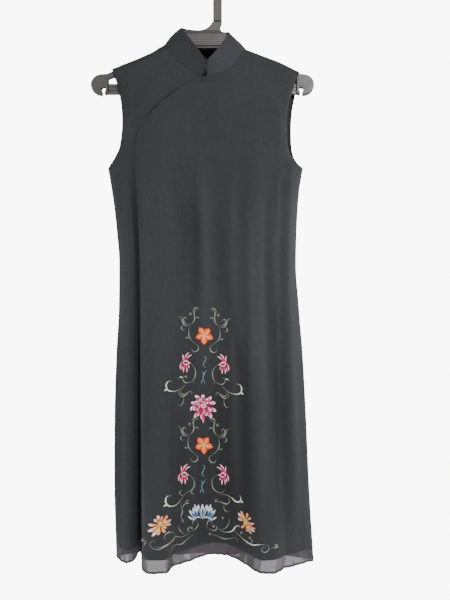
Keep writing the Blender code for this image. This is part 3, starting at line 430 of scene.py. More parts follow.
def shoulder_and_neck(shoulder, neck, count):
    """A top edge from the shoulder tip to the neck's far end, with a column on their corner."""
    spans = [lengths(np.array(part))[-1] for part in (shoulder, neck)]
    first = round((count - 1) * spans[0] / sum(spans))
    shoulder_run = round_curve(shoulder, np.linspace(0, 1, first + 1))
    neck_run = round_curve(neck, np.linspace(0, 1, count - first))
    return np.vstack((shoulder_run, neck_run[1:]))


def main_front_upper(bottom):
    """Main front above the underarm: neck and placket are its left edge, the shoulder its top."""
    neck_share = smooth(np.arange(len(NECK_ROWS)), NECK_ROWS, UPPER_INDEX)
    placket_share = (UPPER_INDEX - NECK_CENTRE_ROW) / (len(UPPER_ROWS) - 1 - NECK_CENTRE_ROW)
    neck = round_curve(NECK_FRONT[NECK_CENTRE_ROW:][::-1], neck_share)
    placket = round_curve(PLACKET, np.clip(placket_share, 0, 1))
    left = np.where(UPPER_INDEX[:, None] < NECK_CENTRE_ROW, neck, placket)
    top = round_curve(SHOULDER_RIGHT, np.linspace(0, 1, len(bottom)))
    return upper(top, bottom, left, round_curve(ARMHOLE_RIGHT, UPPER_SHARE), -1)


def side_front_upper(bottom):
    """Side front above the underarm: its right edge is the placket's line moved under the front."""
    line = round_curve(PLACKET, UPPER_SHARE)
    along = np.gradient(line, axis=0)
    along /= np.linalg.norm(along, axis=1, keepdims=True)
    beside = np.column_stack((-along[:, 1], along[:, 0]))
    right = line + beside * (UNDERLAP * np.minimum(1, UPPER_SHARE / UNDERLAP_START))[:, None]
    top = shoulder_and_neck(SHOULDER_LEFT, NECK_FRONT[:NECK_CENTRE_ROW + 1], len(bottom))
    return upper(top, bottom, round_curve(ARMHOLE_LEFT, UPPER_SHARE), right, -1)


def back_upper(bottom):
    """Back above the underarm: left shoulder, neck and right shoulder are its top."""
    middle, half = len(bottom) // 2, len(NECK_BACK) // 2
    top_left = shoulder_and_neck(SHOULDER_LEFT, NECK_BACK[:half + 1], middle + 1)
    right_count = len(bottom) - middle
    top_right = shoulder_and_neck(SHOULDER_RIGHT[::-1], NECK_BACK[half:][::-1], right_count)
    top = np.vstack((top_left, top_right[::-1][1:]))
    left, right = (round_curve(edge, UPPER_SHARE) for edge in (ARMHOLE_LEFT, ARMHOLE_RIGHT_BACK))
    return upper(top, bottom, left, right, 1)


def near_placket(patch):
    """1 along the placket and beyond it, falling to 0 on the side front's own side."""
    line = round_curve(PLACKET, np.linspace(0, 1, PLACKET_POINTS))
    away = patch[..., None, (0, 2)] - line
    distance = np.linalg.norm(away, axis=-1)
    nearest = np.argmin(distance, axis=-1)
    along = np.gradient(line, axis=0)[nearest]
    offset = np.take_along_axis(away, nearest[..., None, None], axis=-2)[..., 0, :]
    beyond = along[..., 0] * offset[..., 1] - along[..., 1] * offset[..., 0] > 0
    near = np.clip((UNDERLAP_FAR - distance.min(axis=-1)) / UNDERLAP_FADE, 0, 1)
    return np.where(beyond, 1.0, near)


def blend_at_underarm(panel):
    """Evens out the depth near the underarm's level, by repeated means of each row's neighbours."""
    near = np.clip(1 - np.abs(panel[1:-1, :, 2] - UNDERARM_Z) / BLEND_REACH, 0, 1)
    near[:, (0, -1)] = 0
    for _ in range(BLEND_TURNS):
        mean = (panel[:-2, :, 1] + panel[2:, :, 1]) / 2
        panel[1:-1, :, 1] += 0.5 * near * (mean - panel[1:-1, :, 1])
    return panel


# ---------------------------------------------------------------- creases
# Troughs (depth below 0) and ridges on a panel, from their top to their foot, in x and z as they
# lie on the cloth: bow is how far the middle stands off the straight line, to the right.
FRONT_CREASES = (
    # top_x, top_z, foot_x, foot_z, bow, half_width, height
    (-26, -226, 2, -250, -3, 7, 0.8),
    (-20, -330, -16, -640, 3, 9, -1.2),
    (6, -340, 8, -640, -2, 8, 0.7),
    (24, -360, 40, -650, -3, 9, -0.8),
    (-62, -372, -34, -560, 6, 9, -0.8),
    (78, -390, 79, -500, -2, 5, -0.6),
    (42, -570, 80, -820, 3, 9, -1.7),
    (76, -700, 82, -1060, -2, 9, -2.4),
    (106, -540, 114, -1020, -3, 13, 2.2),
    (134, -380, 136, -660, 2, 8, 1.5),
    (88, -420, 94, -900, 2, 10, 2.2),
    (134, -620, 146, -960, 3, 9, -1.9),
    (152, -620, 166, -1100, 2, 11, -2.6),
    (143, -760, 150, -1130, 1, 9.5, -2.3),
    (172, -700, 190, -1080, 2, 8, 2),
    (176, -400, 172, -700, -2, 8, 1.3),
    (168, -380, 158, -430, -3, 6, -1.2),
    (150, -350, 176, -378, 3, 6, -1),
    (-122, -380, -112, -470, 3, 6, 0.8),
    (-104, -600, -108, -1000, -2, 7, -1.3),
    (-84, -640, -82, -1060, -3, 12, 1.2),
    (-44, -820, -46, -1090, 2, 9, -1.3),
    (-22, -900, -16, -1110, 2, 9, 1),
    (26, -760, 40, -1080, 3, 14, -1.8),
    (56, -700, 62, -930, 3, 9, 0.8),
    (8, -196, 54, -214, -4, 6, -0.5),
    (110, -190, 148, -250, 5, 12, 0.7),
    (150, -230, 156, -330, 2, 8, 1.2),
)
SIDE_CREASES = (
    (-112, -178, -140, -262, 5, 10, -0.7),
    (-150, -250, -146, -330, 3, 7, 0.9),
    (-172, -352, -146, -342, 3, 5.5, -0.9),
    (-166, -372, -160, -470, -2, 5, -0.9),
    (-158, -560, -163, -760, 2, 5, 0.7),
    (-168, -860, -170, -1060, 1.5, 4.5, -0.8),
    (-60, -150, -96, -176, 3, 7, -0.6),
)
BACK_CREASES = (
    (-96, -190, -60, -300, -6, 13, 1.4),
    (104, -196, 66, -310, 6, 12, 1.3),
    (3, -150, 4, -300, 2, 16, -1.5),
    (-40, -142, 40, -146, 5, 6, -1),
    (-172, -372, -128, -420, 5, 8, -1.6),
    (182, -372, 136, -425, -5, 8, -1.6),
    (-96, -330, -84, -560, 5, 12, 1.5),
    (58, -350, 50, -600, -5, 11, -1.6),
    (120, -360, 104, -540, -4, 10, 1.4),
    (-120, -470, -112, -640, -3, 8, 1.7),
    (-66, -500, -60, -700, 3, 9, -1.8),
    (-36, -380, -32, -620, 3, 9, 1.3),
    (22, -460, 26, -640, 3, 9, 1.6),
    (60, -600, 72, -800, -3, 8, -2),
    (128, -520, 130, -720, 3, 7, 1.7),
    (-150, -760, -148, -980, 2, 7, -2.1),
    (-134, -720, -132, -1040, 2, 8, 1.6),
    (-84, -740, -86, -1100, -3, 10, -2.2),
    (-24, -820, -20, -1060, 3, 9, 2),
    (40, -800, 44, -1110, 3, 10, -1.9),
    (84, -900, 88, -1110, -2, 8, -1.6),
    (104, -760, 106, -1080, 2, 9, 2.1),
    (160, -820, 168, -1040, 2, 7, -2),
)
# Fine vertical ripple of the limp cloth: wave length, height and how fast it wanders with z.
RIPPLES = (
    (61, 0.3, 900), (37, 0.14, 600), (23, 0.06, 420),
)
SLOW_SWING, SLOW_SHIFT = 2.4, 1.7       # radians of its wander, and from one ripple to the next
QUICK_SWING, QUICK_SHARE = 1.1, 0.37    # the same for a quicker wander, and its share of the length
WAVE_SHIFT = 2.1
CREASE_ENDS = 0.8         # power of the sine with which a crease runs out at its ends
EDGE_ROWS, EDGE_COLUMNS = 9.0, 5.0      # at a panel's edges, over which creases fade in
# Painted shading in the cloth's colour: painted highlight, lighter, on what stands out and on
# crease ridges; painted shade, darker, in the hollows and crease troughs.
RELIEF_REACH = 14         # columns to each side whose mean a point is set against
RELIEF_PAINTED_SHADE = 0.034       # for each mm
RELIEF_FADE = 10.0        # columns at each edge over which it fades in
CREASE_PAINTED_SHADE = 0.13        # for each mm
PAINTED_SHADE_LIMITS = (0.45, 1.7)
# Painted light in the cloth's colour, lighter where more light falls: how much, at heights down
# the dress, and from where to where in x that sets in and changes from one side's value to the other's.
PAINTED_LIGHT = (
    # z, towards its own right, towards its own left
    (-150, 1, 1.04), (-300, 1, 1.08), (-380, 1.06, 1.14), (-450, 1.18, 1.3), (-700, 1.18, 1.28),
    (-830, 1.04, 1.06), (-1000, 1, 1),
)
PAINTED_LIGHT_FROM_X = (-124.0, -112.0)
SIDE_PAINTED_LIGHT_FROM_X = (-144.0, -150.0)
PAINTED_LIGHT_ACROSS_X = (-10.0, 130.0)
# Painted highlight on the main front's last stretch, where it turns to the light at the side: how pale at
# each height.
EDGE_PAINTED_HIGHLIGHT = ((-600.0, 1.0), (-760.0, 1.5), (-860.0, 2.2), (-1040.0, 2.4), (-1140.0, 2.0))
EDGE_REACH = 17.0


def creases(panel, table):
    """How far soft creases push each point out: Gaussians across bowed lines, faded at both ends."""
    x, z = panel[..., 0], panel[..., 2]
    push = np.zeros(x.shape)
    for top_x, top_z, foot_x, foot_z, bow, half_width, height in table:
        run = np.array((foot_x - top_x, foot_z - top_z), float)
        span = np.hypot(*run)
        run /= span
        t = ((x - top_x) * run[0] + (z - top_z) * run[1]) / span
        inside = np.clip(t, 0, 1)
        off = (x - top_x) * -run[1] + (z - top_z) * run[0] - bow * 4 * inside * (1 - inside)
        ends = np.sin(np.pi * inside) ** CREASE_ENDS
        push += height * ends * np.exp(-(off / half_width) ** 2)
    return push


def ripple(panel, side):
    """A sum of sines of x whose phases wander with z, in mm."""
    x, z = panel[..., 0], panel[..., 2]
    push = np.zeros(x.shape)
    for k, (wave, height, wander) in enumerate(RIPPLES):
        slow = SLOW_SWING * np.sin(z / wander + SLOW_SHIFT * k)
        phase = slow + QUICK_SWING * np.sin(z / (QUICK_SHARE * wander) + k)
        push += height * np.sin(2 * np.pi * x / wave + phase + WAVE_SHIFT * k + side)
    return push


def relief(panel, side):
    """How far each point stands out from the mean of its row near it, in mm."""
    depth = panel[..., 1] * side
    padded = np.pad(depth, ((0, 0), (RELIEF_REACH + 1, RELIEF_REACH)), mode="edge")
    total = np.cumsum(padded, axis=1)
    width = 2 * RELIEF_REACH + 1
    return depth - (total[:, width:] - total[:, :-width]) / width


def crease(panel, table, side):
    """Moves a panel's points out by its creases and ripple, and gives the cloth's tone there.

    Both fade out towards the edges. The tone is painted shading, 1 on plain cloth.
    """
    folds = creases(panel, table)
    rows, cols = folds.shape
    row, col = np.arange(rows)[:, None], np.arange(cols)[None]
    from_end, from_side = np.minimum(row, rows - 1 - row), np.minimum(col, cols - 1 - col)
    edge = np.clip(np.minimum(from_end / EDGE_ROWS, from_side / EDGE_COLUMNS), 0, 1)
    inner = np.clip(from_side / RELIEF_FADE, 0, 1)
    # Painted shading: lighter where the cloth stands out, darker in hollows and crease troughs.
    tone = 1 + RELIEF_PAINTED_SHADE * relief(panel, side) * inner + CREASE_PAINTED_SHADE * folds * edge
    push = (folds + ripple(panel, side)) * edge
    outward = normals(panel) * np.sign(normals(panel)[..., 1:2].mean() * side)
    return panel + outward * push[..., None], np.clip(tone, *PAINTED_SHADE_LIMITS)


def painted_light_factor(panel, from_x):
    """Painted light: how much lighter the colour is made at each height, from one side's value to the
    other's.
    """
    z, right, left = np.array(PAINTED_LIGHT)[::-1].T
    across = np.clip((panel[..., 0] - PAINTED_LIGHT_ACROSS_X[0]) / np.ptp(PAINTED_LIGHT_ACROSS_X), 0, 1)
    near, far = np.interp(panel[..., 2], z, right), np.interp(panel[..., 2], z, left)
    start = np.clip((panel[..., 0] - from_x[0]) / (from_x[1] - from_x[0]), 0, 1)
    return 1 + (near + (far - near) * across - 1) * start


def edge_painted_highlight(panel):
    """Painted highlight: how much lighter the colour is made towards the last column, faded inward."""
    z, painted_lightness = np.array(EDGE_PAINTED_HIGHLIGHT)[::-1].T
    fade = 1 - np.clip((panel[:, -1:, 0] - panel[..., 0]) / EDGE_REACH, 0, 1)
    return 1 + (np.interp(panel[..., 2], z, painted_lightness) - 1) * fade


# ---------------------------------------------------------------- meshes
def mesh_object(name, points, faces, uv, tint, mat):
    """A mesh from arrays: points in mm, faces by their number of corners, uv and tint at points."""
    mesh = bpy.data.meshes.new(name)
    corners = np.concatenate([np.ravel(part) for part in faces]).astype(np.int32)
    sizes = np.concatenate([np.full(len(part), part.shape[1]) for part in faces])
    mesh.vertices.add(len(points))
    mesh.vertices.foreach_set("co", (np.asarray(points, float) * MM).astype(np.float32).ravel())
    mesh.loops.add(len(corners))
    mesh.loops.foreach_set("vertex_index", corners)
    mesh.polygons.add(len(sizes))
    mesh.polygons.foreach_set("loop_start", (np.cumsum(sizes) - sizes).astype(np.int32))
    mesh.update(calc_edges=True)
    if uv is not None:
        layer = mesh.uv_layers.new(name="thread")
        layer.data.foreach_set("uv", np.asarray(uv, np.float32)[corners].ravel())
    if tint is not None:
        colour = np.column_stack((tint, np.ones(len(tint)))).astype(np.float32)
        layer = mesh.attributes.new("tint", "FLOAT_COLOR", "POINT")
        layer.data.foreach_set("color", colour.ravel())
    mesh.validate()
    mesh.shade_smooth()
    obj = bpy.data.objects.new(name, mesh)
    bpy.context.scene.collection.objects.link(obj)
    mesh.materials.append(mat)
    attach(obj, "root")
    return obj


def grid_faces(rows, cols, around=False, start=0):
    """Quads of a grid of rows x cols points; around joins the last column to the first."""
    index = start + np.arange(rows * cols).reshape(rows, cols)
    if around:
        index = np.concatenate((index, index[:, :1]), axis=1)
    quads = np.stack((index[:-1, :-1], index[1:, :-1], index[1:, 1:], index[:-1, 1:]), axis=-1)
    return quads.reshape(-1, 4)


def cloth_uv(grid):
    """Distance across and down a grid, in metres, as the cloth's own threads run."""
    across = np.cumsum(np.linalg.norm(np.diff(grid, axis=1, prepend=grid[:, :1]), axis=2), axis=1)
    down = np.cumsum(np.linalg.norm(np.diff(grid, axis=0, prepend=grid[:1]), axis=2), axis=0)
    middle = across[:, across.shape[1] // 2][:, None]
    return np.stack((across - middle, -down), axis=-1).reshape(-1, 2) * MM


def cloth(name, grid, thickness, mat, tone=None):
    """A grid of points as a thin closed shell: the quads with a Solidify wall centred on them."""
    faces = [grid_faces(*grid.shape[:2])]
    # A given tone is painted shading, kept as the piece's tint.
    tone = np.ones(grid.shape[:2]) if tone is None else tone
    tint = np.repeat(tone.reshape(-1, 1), 3, axis=1)
    obj = mesh_object(name, grid.reshape(-1, 3), faces, cloth_uv(grid), tint, mat)
    solid = obj.modifiers.new("wall", "SOLIDIFY")
    solid.thickness = thickness * MM
    solid.offset = 0.0
    solid.use_even_offset = False
    solid.use_rim = True
    return obj


def frames(path):
    """Along a path, two unit directions square to it: outward (as near -Y as it goes) and aside."""
    along = np.gradient(path, axis=0)
    along /= np.maximum(np.linalg.norm(along, axis=1, keepdims=True), TINY)
    out = np.array((0.0, -1.0, 0.0)) - along * (-along[:, 1:2])
    out /= np.maximum(np.linalg.norm(out, axis=1, keepdims=True), TINY)
    return out, np.cross(out, along)


def strands(name, parts, mat):
    """Strands in one mesh, closed at their ends: each is its points, along x round, its uv and tint."""
    quads, caps, start = [], [], 0
    for grid, _, _ in parts:
        rows, sides = grid.shape[:2]
        quads.append(grid_faces(rows, sides, around=True, start=start))
        first = start + np.arange(sides)
        caps.append(np.stack((first, (first + (rows - 1) * sides)[::-1])))
        start += rows * sides
    points, uv, tint = (None if column[0] is None
                        else np.concatenate([part.reshape(-1, part.shape[-1]) for part in column])
                        for column in zip(*parts))
    return mesh_object(name, points, [np.vstack(quads), np.vstack(caps)], uv, tint, mat)


def cords(name, paths, radii, mat):
    """Ovals carried along paths: centre + aside_radius sin(a) aside + out_radius cos(a) outward."""
    turn = np.linspace(0, 2 * np.pi, CORD_SIDES, endpoint=False)[None, :, None]
    around = np.linspace(0, 2 * np.pi * radii[0], CORD_SIDES, endpoint=False)
    parts = []
    for path in paths:
        out, aside = (way[:, None] for way in frames(path))
        grid = path[:, None] + radii[1] * np.cos(turn) * out + radii[0] * np.sin(turn) * aside
        uv = np.stack(np.meshgrid(lengths(path), around, indexing="ij"), axis=-1) * MM
        parts.append((grid, uv, None))
    return strands(name, parts, mat)


# ---------------------------------------------------------------- materials
def srgb(red, green, blue):
    """A colour given as screen values, as linear light."""
    value = np.array((red, green, blue)) / 255.0
    return tuple(np.where(value <= 0.04045, value / 12.92, ((value + 0.055) / 1.055) ** 2.4))


SHEEN_ROUGHNESS = 0.45
SCREEN_WHITE = 9.0        # how bright the floor and the surround look to the camera
AMBIENT = 0.32            # how brightly the surround lights the dress


class Finish:
    """A Principled material and short ways to add nodes to it."""

    def __init__(self, name, roughness, metallic=0.0, sheen=0.0, coat=0.0, alpha=1.0, gloss=0.5):
        self.mat = bpy.data.materials.new(name)
        self.mat.use_nodes = True
        self.nodes, self.links = self.mat.node_tree.nodes, self.mat.node_tree.links
        self.shader = self.nodes["Principled BSDF"]
        for socket, value in (("Roughness", roughness), ("Metallic", metallic), ("Alpha", alpha),
                              ("Specular IOR Level", gloss), ("Sheen Weight", sheen),
                              ("Sheen Roughness", SHEEN_ROUGHNESS), ("Coat Weight", coat)):
            self.shader.inputs[socket].default_value = value

    def add(self, kind, **values):
        """A node with its named settings and inputs."""
        node = self.nodes.new(kind)
        for key, value in values.items():
            if key in node.inputs:
                node.inputs[key].default_value = value
            else:
                setattr(node, key, value)
        return node

    def place(self, source, scale):
        """Coordinates of the piece (Object or UV) times a scale."""
        spot = self.add("ShaderNodeMapping", Scale=scale)
        self.links.new(self.add("ShaderNodeTexCoord").outputs[source], spot.inputs["Vector"])
        return spot.outputs[0]

    def noise(self, source, scale, detail=3.0):
        """Fractal noise at a scale in features a metre along each axis."""
        node = self.add("ShaderNodeTexNoise", Scale=1.0, Detail=detail)
        self.links.new(self.place(source, scale), node.inputs["Vector"])
        return node.outputs["Fac"]

    def wave(self, source, scale, distortion=0.0, direction="X"):
        """Bands along one direction, with a little distortion."""
        node = self.add("ShaderNodeTexWave", Scale=1.0, Distortion=distortion,
                        bands_direction=direction)
        self.links.new(self.place(source, scale), node.inputs["Vector"])
        return node.outputs["Fac"]

    def math(self, operation, first, second):
        """One sum on two outputs or numbers."""
        node = self.add("ShaderNodeMath", operation=operation)
        for slot, value in zip(node.inputs, (first, second)):
            if isinstance(value, (int, float)):
                slot.default_value = value
            else:
                self.links.new(value, slot)
        return node.outputs[0]

    def ramp(self, factor, *stops):
        """Colours by a factor: stops of place and colour."""
        node = self.add("ShaderNodeValToRGB")
        bands = node.color_ramp.elements
        while len(bands) < len(stops):
            bands.new(0.5)
        for band, (place, colour) in zip(bands, stops):
            band.position = place
            band.color = (*colour, 1.0)
        self.links.new(factor, node.inputs[0])
        return node.outputs[0]

    def tint(self):
        """The piece's colour at each point: thread colours on the embroidery, painted shading on the
        panels and collar.
        """
        return self.add("ShaderNodeAttribute", attribute_name="tint").outputs["Color"]

    def times(self, first, second):
        """Two colours multiplied."""
        node = self.add("ShaderNodeMix", data_type="RGBA", blend_type="MULTIPLY")
        node.inputs[0].default_value = 1.0
        self.links.new(first, node.inputs[6])
        self.links.new(second, node.inputs[7])
        return node.outputs[2]

    def colour(self, output):
        """The surface's colour."""
        self.links.new(output, self.shader.inputs["Base Color"])

    def rough(self, output):
        """How rough the surface is, where that changes over it."""
        self.links.new(output, self.shader.inputs["Roughness"])

    def bump(self, height, depth_mm):
        """Raises the surface by a height times a depth."""
        node = self.add("ShaderNodeBump", Strength=1.0, Distance=depth_mm * MM)
        self.links.new(height, node.inputs["Height"])
        self.links.new(node.outputs[0], self.shader.inputs["Normal"])


THREADS = 1500.0          # of the georgette's weave in a metre
TAFFETA_RIBS = 1600.0


def georgette(name, dark, light, alpha=1.0, with_painted_shading=False):
    """Crinkled crepe weave: crossed fine waves broken by noise, with faint slubs in the colour.

    Cloth with painted shading is multiplied by its piece's tint, which carries that painted shading.
    """
    made = Finish(name, roughness=0.8, sheen=0.03, alpha=alpha, gloss=0.25)
    warp = made.wave("UV", (THREADS, THREADS, 1), distortion=1.5)
    weft = made.wave("UV", (THREADS, THREADS, 1), distortion=1.5, direction="Y")
    crepe = made.noise("UV", (900.0, 700.0, 1), detail=4.0)
    slub = made.noise("UV", (160.0, 60.0, 1), detail=2.0)
    cloud = made.noise("Object", (9.0, 9.0, 5.0), detail=2.0)
    tone = made.math("ADD", made.math("MULTIPLY", slub, 0.45), made.math("MULTIPLY", cloud, 0.55))
    colour = made.ramp(tone, (0.3, dark), (0.7, light))
    made.colour(made.times(colour, made.tint()) if with_painted_shading else colour)
    weave = made.math("ADD", made.math("MULTIPLY", warp, weft), made.math("MULTIPLY", crepe, 1.4))
    made.bump(weave, 0.09)
    return made.mat


def lining_cloth(name, dark, light, sheen=0.1):
    """Smooth taffeta: a fine rib along the weft and a soft sheen."""
    made = Finish(name, roughness=0.6, sheen=sheen, gloss=0.3)
    rib = made.wave("UV", (THREADS, TAFFETA_RIBS, 1), distortion=0.6, direction="Y")
    cloud = made.noise("Object", (14.0, 14.0, 8.0))
    made.colour(made.ramp(cloud, (0.35, dark), (0.65, light)))
    made.bump(rib, 0.04)
    return made.mat


def embroidery_floss():
    """Lustrous floss: the piece's own tint, darkened between the satin stitches."""
    made = Finish("embroidery_floss", roughness=0.45, gloss=0.35)
    stitch = made.wave("UV", (850.0, 850.0, 1), distortion=0.8, direction="DIAGONAL")
    fleck = made.noise("UV", (500.0, 500.0, 1), detail=2.0)
    shade = made.math("ADD", made.math("MULTIPLY", stitch, 0.7), made.math("MULTIPLY", fleck, 0.5))
    grey = made.ramp(shade, (0.1, (0.55, 0.55, 0.55)), (0.75, (1.0, 1.0, 1.0)))
    made.colour(made.times(made.tint(), grey))
    made.bump(stitch, 0.16)
    return made.mat


def moulded_plastic():
    """Moulded hanger plastic: fine grain, faint flow lines and rubbed patches."""
    made = Finish("moulded_plastic", roughness=0.45)
    grain = made.noise("Object", (1400.0, 1400.0, 1400.0), detail=4.0)
    flow = made.noise("Object", (14.0, 60.0, 160.0), detail=2.0)
    rubbed = made.noise("Object", (60.0, 60.0, 60.0), detail=5.0)
    made.colour(made.ramp(flow, (0.3, srgb(48, 45, 44)), (0.7, srgb(58, 54, 54))))
    made.rough(made.math("ADD", 0.34, made.math("MULTIPLY", rubbed, 0.28)))
    made.bump(grain, 0.05)
    return made.mat


def stud_plastic():
    """Dark press stud: satin, slightly scuffed."""
    made = Finish("stud_plastic", roughness=0.4, coat=0.1, gloss=0.3)
    scuff = made.noise("Object", (900.0, 900.0, 900.0))
    made.colour(made.ramp(scuff, (0.3, srgb(28, 30, 32)), (0.7, srgb(40, 42, 44))))
    made.bump(scuff, 0.03)
    return made.mat


def blackened_wire():
    """Dark enamelled wire of the collar's hook and eye."""
    made = Finish("hook_wire", roughness=0.38, metallic=1.0)
    worn = made.noise("Object", (1200.0, 1200.0, 1200.0))
    made.colour(made.ramp(worn, (0.35, srgb(58, 60, 62)), (0.75, srgb(84, 86, 88))))
    made.bump(worn, 0.02)
    return made.mat


def lit_and_seen(tree, lit, bright, output):
    """Mixes two shaders: one for what the light meets and one for what the camera sees."""
    camera_ray = tree.nodes.new("ShaderNodeLightPath").outputs["Is Camera Ray"]
    mix = tree.nodes.new("ShaderNodeMixShader")
    for source, socket in zip((camera_ray, lit.outputs[0], bright.outputs[0]), mix.inputs):
        tree.links.new(source, socket)
    tree.links.new(mix.outputs[0], tree.nodes[output].inputs["Surface"])


def pale_floor():
    """Plain pale floor, bright where it is looked at."""
    made = Finish("pale_floor", roughness=0.9)
    tone = made.noise("Object", (0.6, 0.6, 0.6))
    made.colour(made.ramp(tone, (0.3, (0.86, 0.86, 0.86)), (0.7, (0.9, 0.9, 0.9))))
    glow = made.add("ShaderNodeEmission", Color=(1.0, 1.0, 1.0, 1.0), Strength=SCREEN_WHITE)
    lit_and_seen(made.mat.node_tree, made.shader, glow, "Material Output")
    return made.mat


BLACK_CLOTH = georgette("georgette_on_lining", srgb(33, 35, 37), srgb(40, 41, 45))
# Panel and collar cloth are multiplied by their pieces' painted shading.
PANEL_CLOTH = georgette("georgette_panels", srgb(33, 36, 36), srgb(41, 42, 46), with_painted_shading=True)
COLLAR_CLOTH = georgette("georgette_collar", srgb(33, 35, 37), srgb(41, 42, 47), with_painted_shading=True)
# The single cloth stands denser where it turns away from the front: its share of open weave
# at each turn (1 facing the front), for the two faces of its thin wall.
SHEER_TURNS = (1.0, 1.25, 1.6, 2.2, 3.2)
TURN_EARLY = 0.93         # the next finish starts a little before its turn
LEAST_FACING = 0.2
SHEER_OPEN = 0.17
SHEER_CLOTHS = [georgette(f"georgette_single_{k}", srgb(58, 55, 59), srgb(74, 70, 75),
                          alpha=1 - SHEER_OPEN ** turn) for k, turn in enumerate(SHEER_TURNS)]
HEM_CLOTH = georgette("georgette_rolled", srgb(52, 50, 54), srgb(66, 63, 68))
LINING_CLOTH = lining_cloth("lining_taffeta", srgb(26, 27, 29), srgb(36, 37, 40))
# Near-black facing: its colour is painted shadow, showing the shade in the placket's gap.
SHADOW_FACING_CLOTH = lining_cloth("facing_taffeta_painted_shadow", srgb(4, 4, 5), srgb(7, 7, 8), sheen=0.0)
FLOSS = embroidery_floss()
PLASTIC = moulded_plastic()
STUD = stud_plastic()
WIRE = blackened_wire()


# ---------------------------------------------------------------- the dress
def under_front(columns):
    """0 up to the main front's edge and 1 beyond it, where a layer lies under the front."""
    folds = (0, EDGE_FOLD - UNDER_START, EDGE_FOLD - UNDER_END, LAST_FOLD)
    return smooth(folds, (0, 0, 1, 1), columns)


def front_panels():
    """The master surfaces of the main front and the side front, down to the hem."""
    columns = even_columns(EDGE_FOLD, LAST_FOLD, SKIRT_Z, EDGE_UP_WALL)
    lower = skirt(FRONT_FOLDS, -1, SKIRT_Z, columns)
    main = np.concatenate((main_front_upper(lower[0][:, (0, 2)])[:-1], lower))
    columns = even_columns(0, SIDE_LAST, SKIRT_Z)
    lower = skirt(FRONT_FOLDS, -1, SKIRT_Z, columns)
    side = np.concatenate((side_front_upper(lower[0][:, (0, 2)])[:-1], lower))
    inward = normals(side)
    top = len(UPPER_INDEX)
    inward[:top] = (0, 1, 0)
    inward[:, 0] = 0
    beside = np.ones(len(side))[:, None] * under_front(columns[0])[None]
    beside[:top] = near_placket(side[:top])
    return main, side + inward * (LAP * beside)[..., None]


def back_panel():
    """The master surface of the back."""
    lower = skirt(BACK_FOLDS, 1, SKIRT_Z, even_columns(0, len(BACK_FOLDS) - 1, SKIRT_Z))
    return np.concatenate((back_upper(lower[0][:, (0, 2)])[:-1], lower))


MAIN, SIDE = front_panels()
BACK = back_panel()
for panel, direction in ((MAIN, -1), (BACK, 1)):
    open_slit(panel, direction)
for panel in (MAIN, SIDE, BACK):
    blend_at_underarm(panel)
below = np.clip((DIP_FROM_Z - BACK[..., 2]) / (DIP_FROM_Z - HEM_Z), 0, 1)
inside = np.sin(np.linspace(0, np.pi, BACK.shape[1]))[None]
BACK[..., 2] -= BACK_DIP * below ** 2 * inside ** DIP_ROUND
# Each panel's tone is painted shading: painted highlight on what stands out, painted shade in hollows and
# creases.
MAIN, MAIN_PAINTED_SHADING = crease(MAIN, FRONT_CREASES, -1)
SIDE, SIDE_PAINTED_SHADING = crease(SIDE, SIDE_CREASES, -1)
BACK, BACK_PAINTED_SHADING = crease(BACK, BACK_CREASES, 1)
# Painted light across the fronts, and a painted highlight on the main front's last stretch.
MAIN_PAINTED_SHADING = MAIN_PAINTED_SHADING * painted_light_factor(MAIN, PAINTED_LIGHT_FROM_X) * edge_painted_highlight(MAIN)
SIDE_PAINTED_SHADING = SIDE_PAINTED_SHADING * painted_light_factor(SIDE, SIDE_PAINTED_LIGHT_FROM_X)


def by_turn(piece, grid):
    """Gives each face of the single cloth the finish for how far it turns from the front."""
    for mat in SHEER_CLOTHS[1:]:
        piece.data.materials.append(mat)
    facing = np.abs(normals(grid)[..., 1])
    facing = (facing[:-1, :-1] + facing[1:, 1:]) / 2
    limits = np.array(SHEER_TURNS[1:]) * TURN_EARLY
    turn = np.searchsorted(limits, 1 / np.maximum(facing, LEAST_FACING))
    piece.data.polygons.foreach_set("material_index", turn.ravel().astype(np.int32))
    return piece


def split_at_lining(panel):
    """The opaque part of a panel and the sheer band below the lining's edge, sharing one row.

    The band has BAND_ROWS rows, read smoothly from the panel's, and sines across it that grow
    with a power of the fall, wander and turn as they go down.
    """
    band = panel[BAND_ROW:]
    rows = np.linspace(0, len(band) - 1, BAND_ROWS)
    fine = smooth(np.arange(len(band)), band.reshape(len(band), -1), rows)
    fine = fine.reshape(BAND_ROWS, *band.shape[1:])
    fall = np.linspace(0, 1, BAND_ROWS)[:, None] ** BAND_FALL
    across = lengths(fine[0])
    inside = np.clip(np.minimum(across, across[-1] - across) / GATHER_EDGE, 0, 1)
    for wave, height, phase in GATHERS:
        lean = GATHER_LEAN * np.sin(across / LEAN_WAVE + phase)
        drift = GATHER_DRIFT * np.sin(across / DRIFT_WAVE + phase)
        gather = np.sin(2 * np.pi * across / wave + phase + drift + lean * fall * LEAN_GROWTH)
        fine[..., 1] += height * gather * inside * fall
    return panel[:BAND_ROW + 1], fine


for name, panel, tone in (("front", MAIN, MAIN_PAINTED_SHADING), ("front_side", SIDE, SIDE_PAINTED_SHADING),
                          ("back", BACK[:, ::-1], BACK_PAINTED_SHADING[:, ::-1])):
    opaque, band = split_at_lining(panel)
    # The shell's colour is multiplied by the panel's painted shading.
    shell = cloth(name + "_cloth", opaque, SHELL, PANEL_CLOTH, tone[:len(opaque)])
    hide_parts(name)
    hem = by_turn(cloth(name + "_sheer_hem", band, SHEER, SHEER_CLOTHS[0]), band)
    path = band[-1] + (0, 0, ROLL[0])
    cords(name + "_rolled_hem", [path], ROLL, HEM_CLOTH)


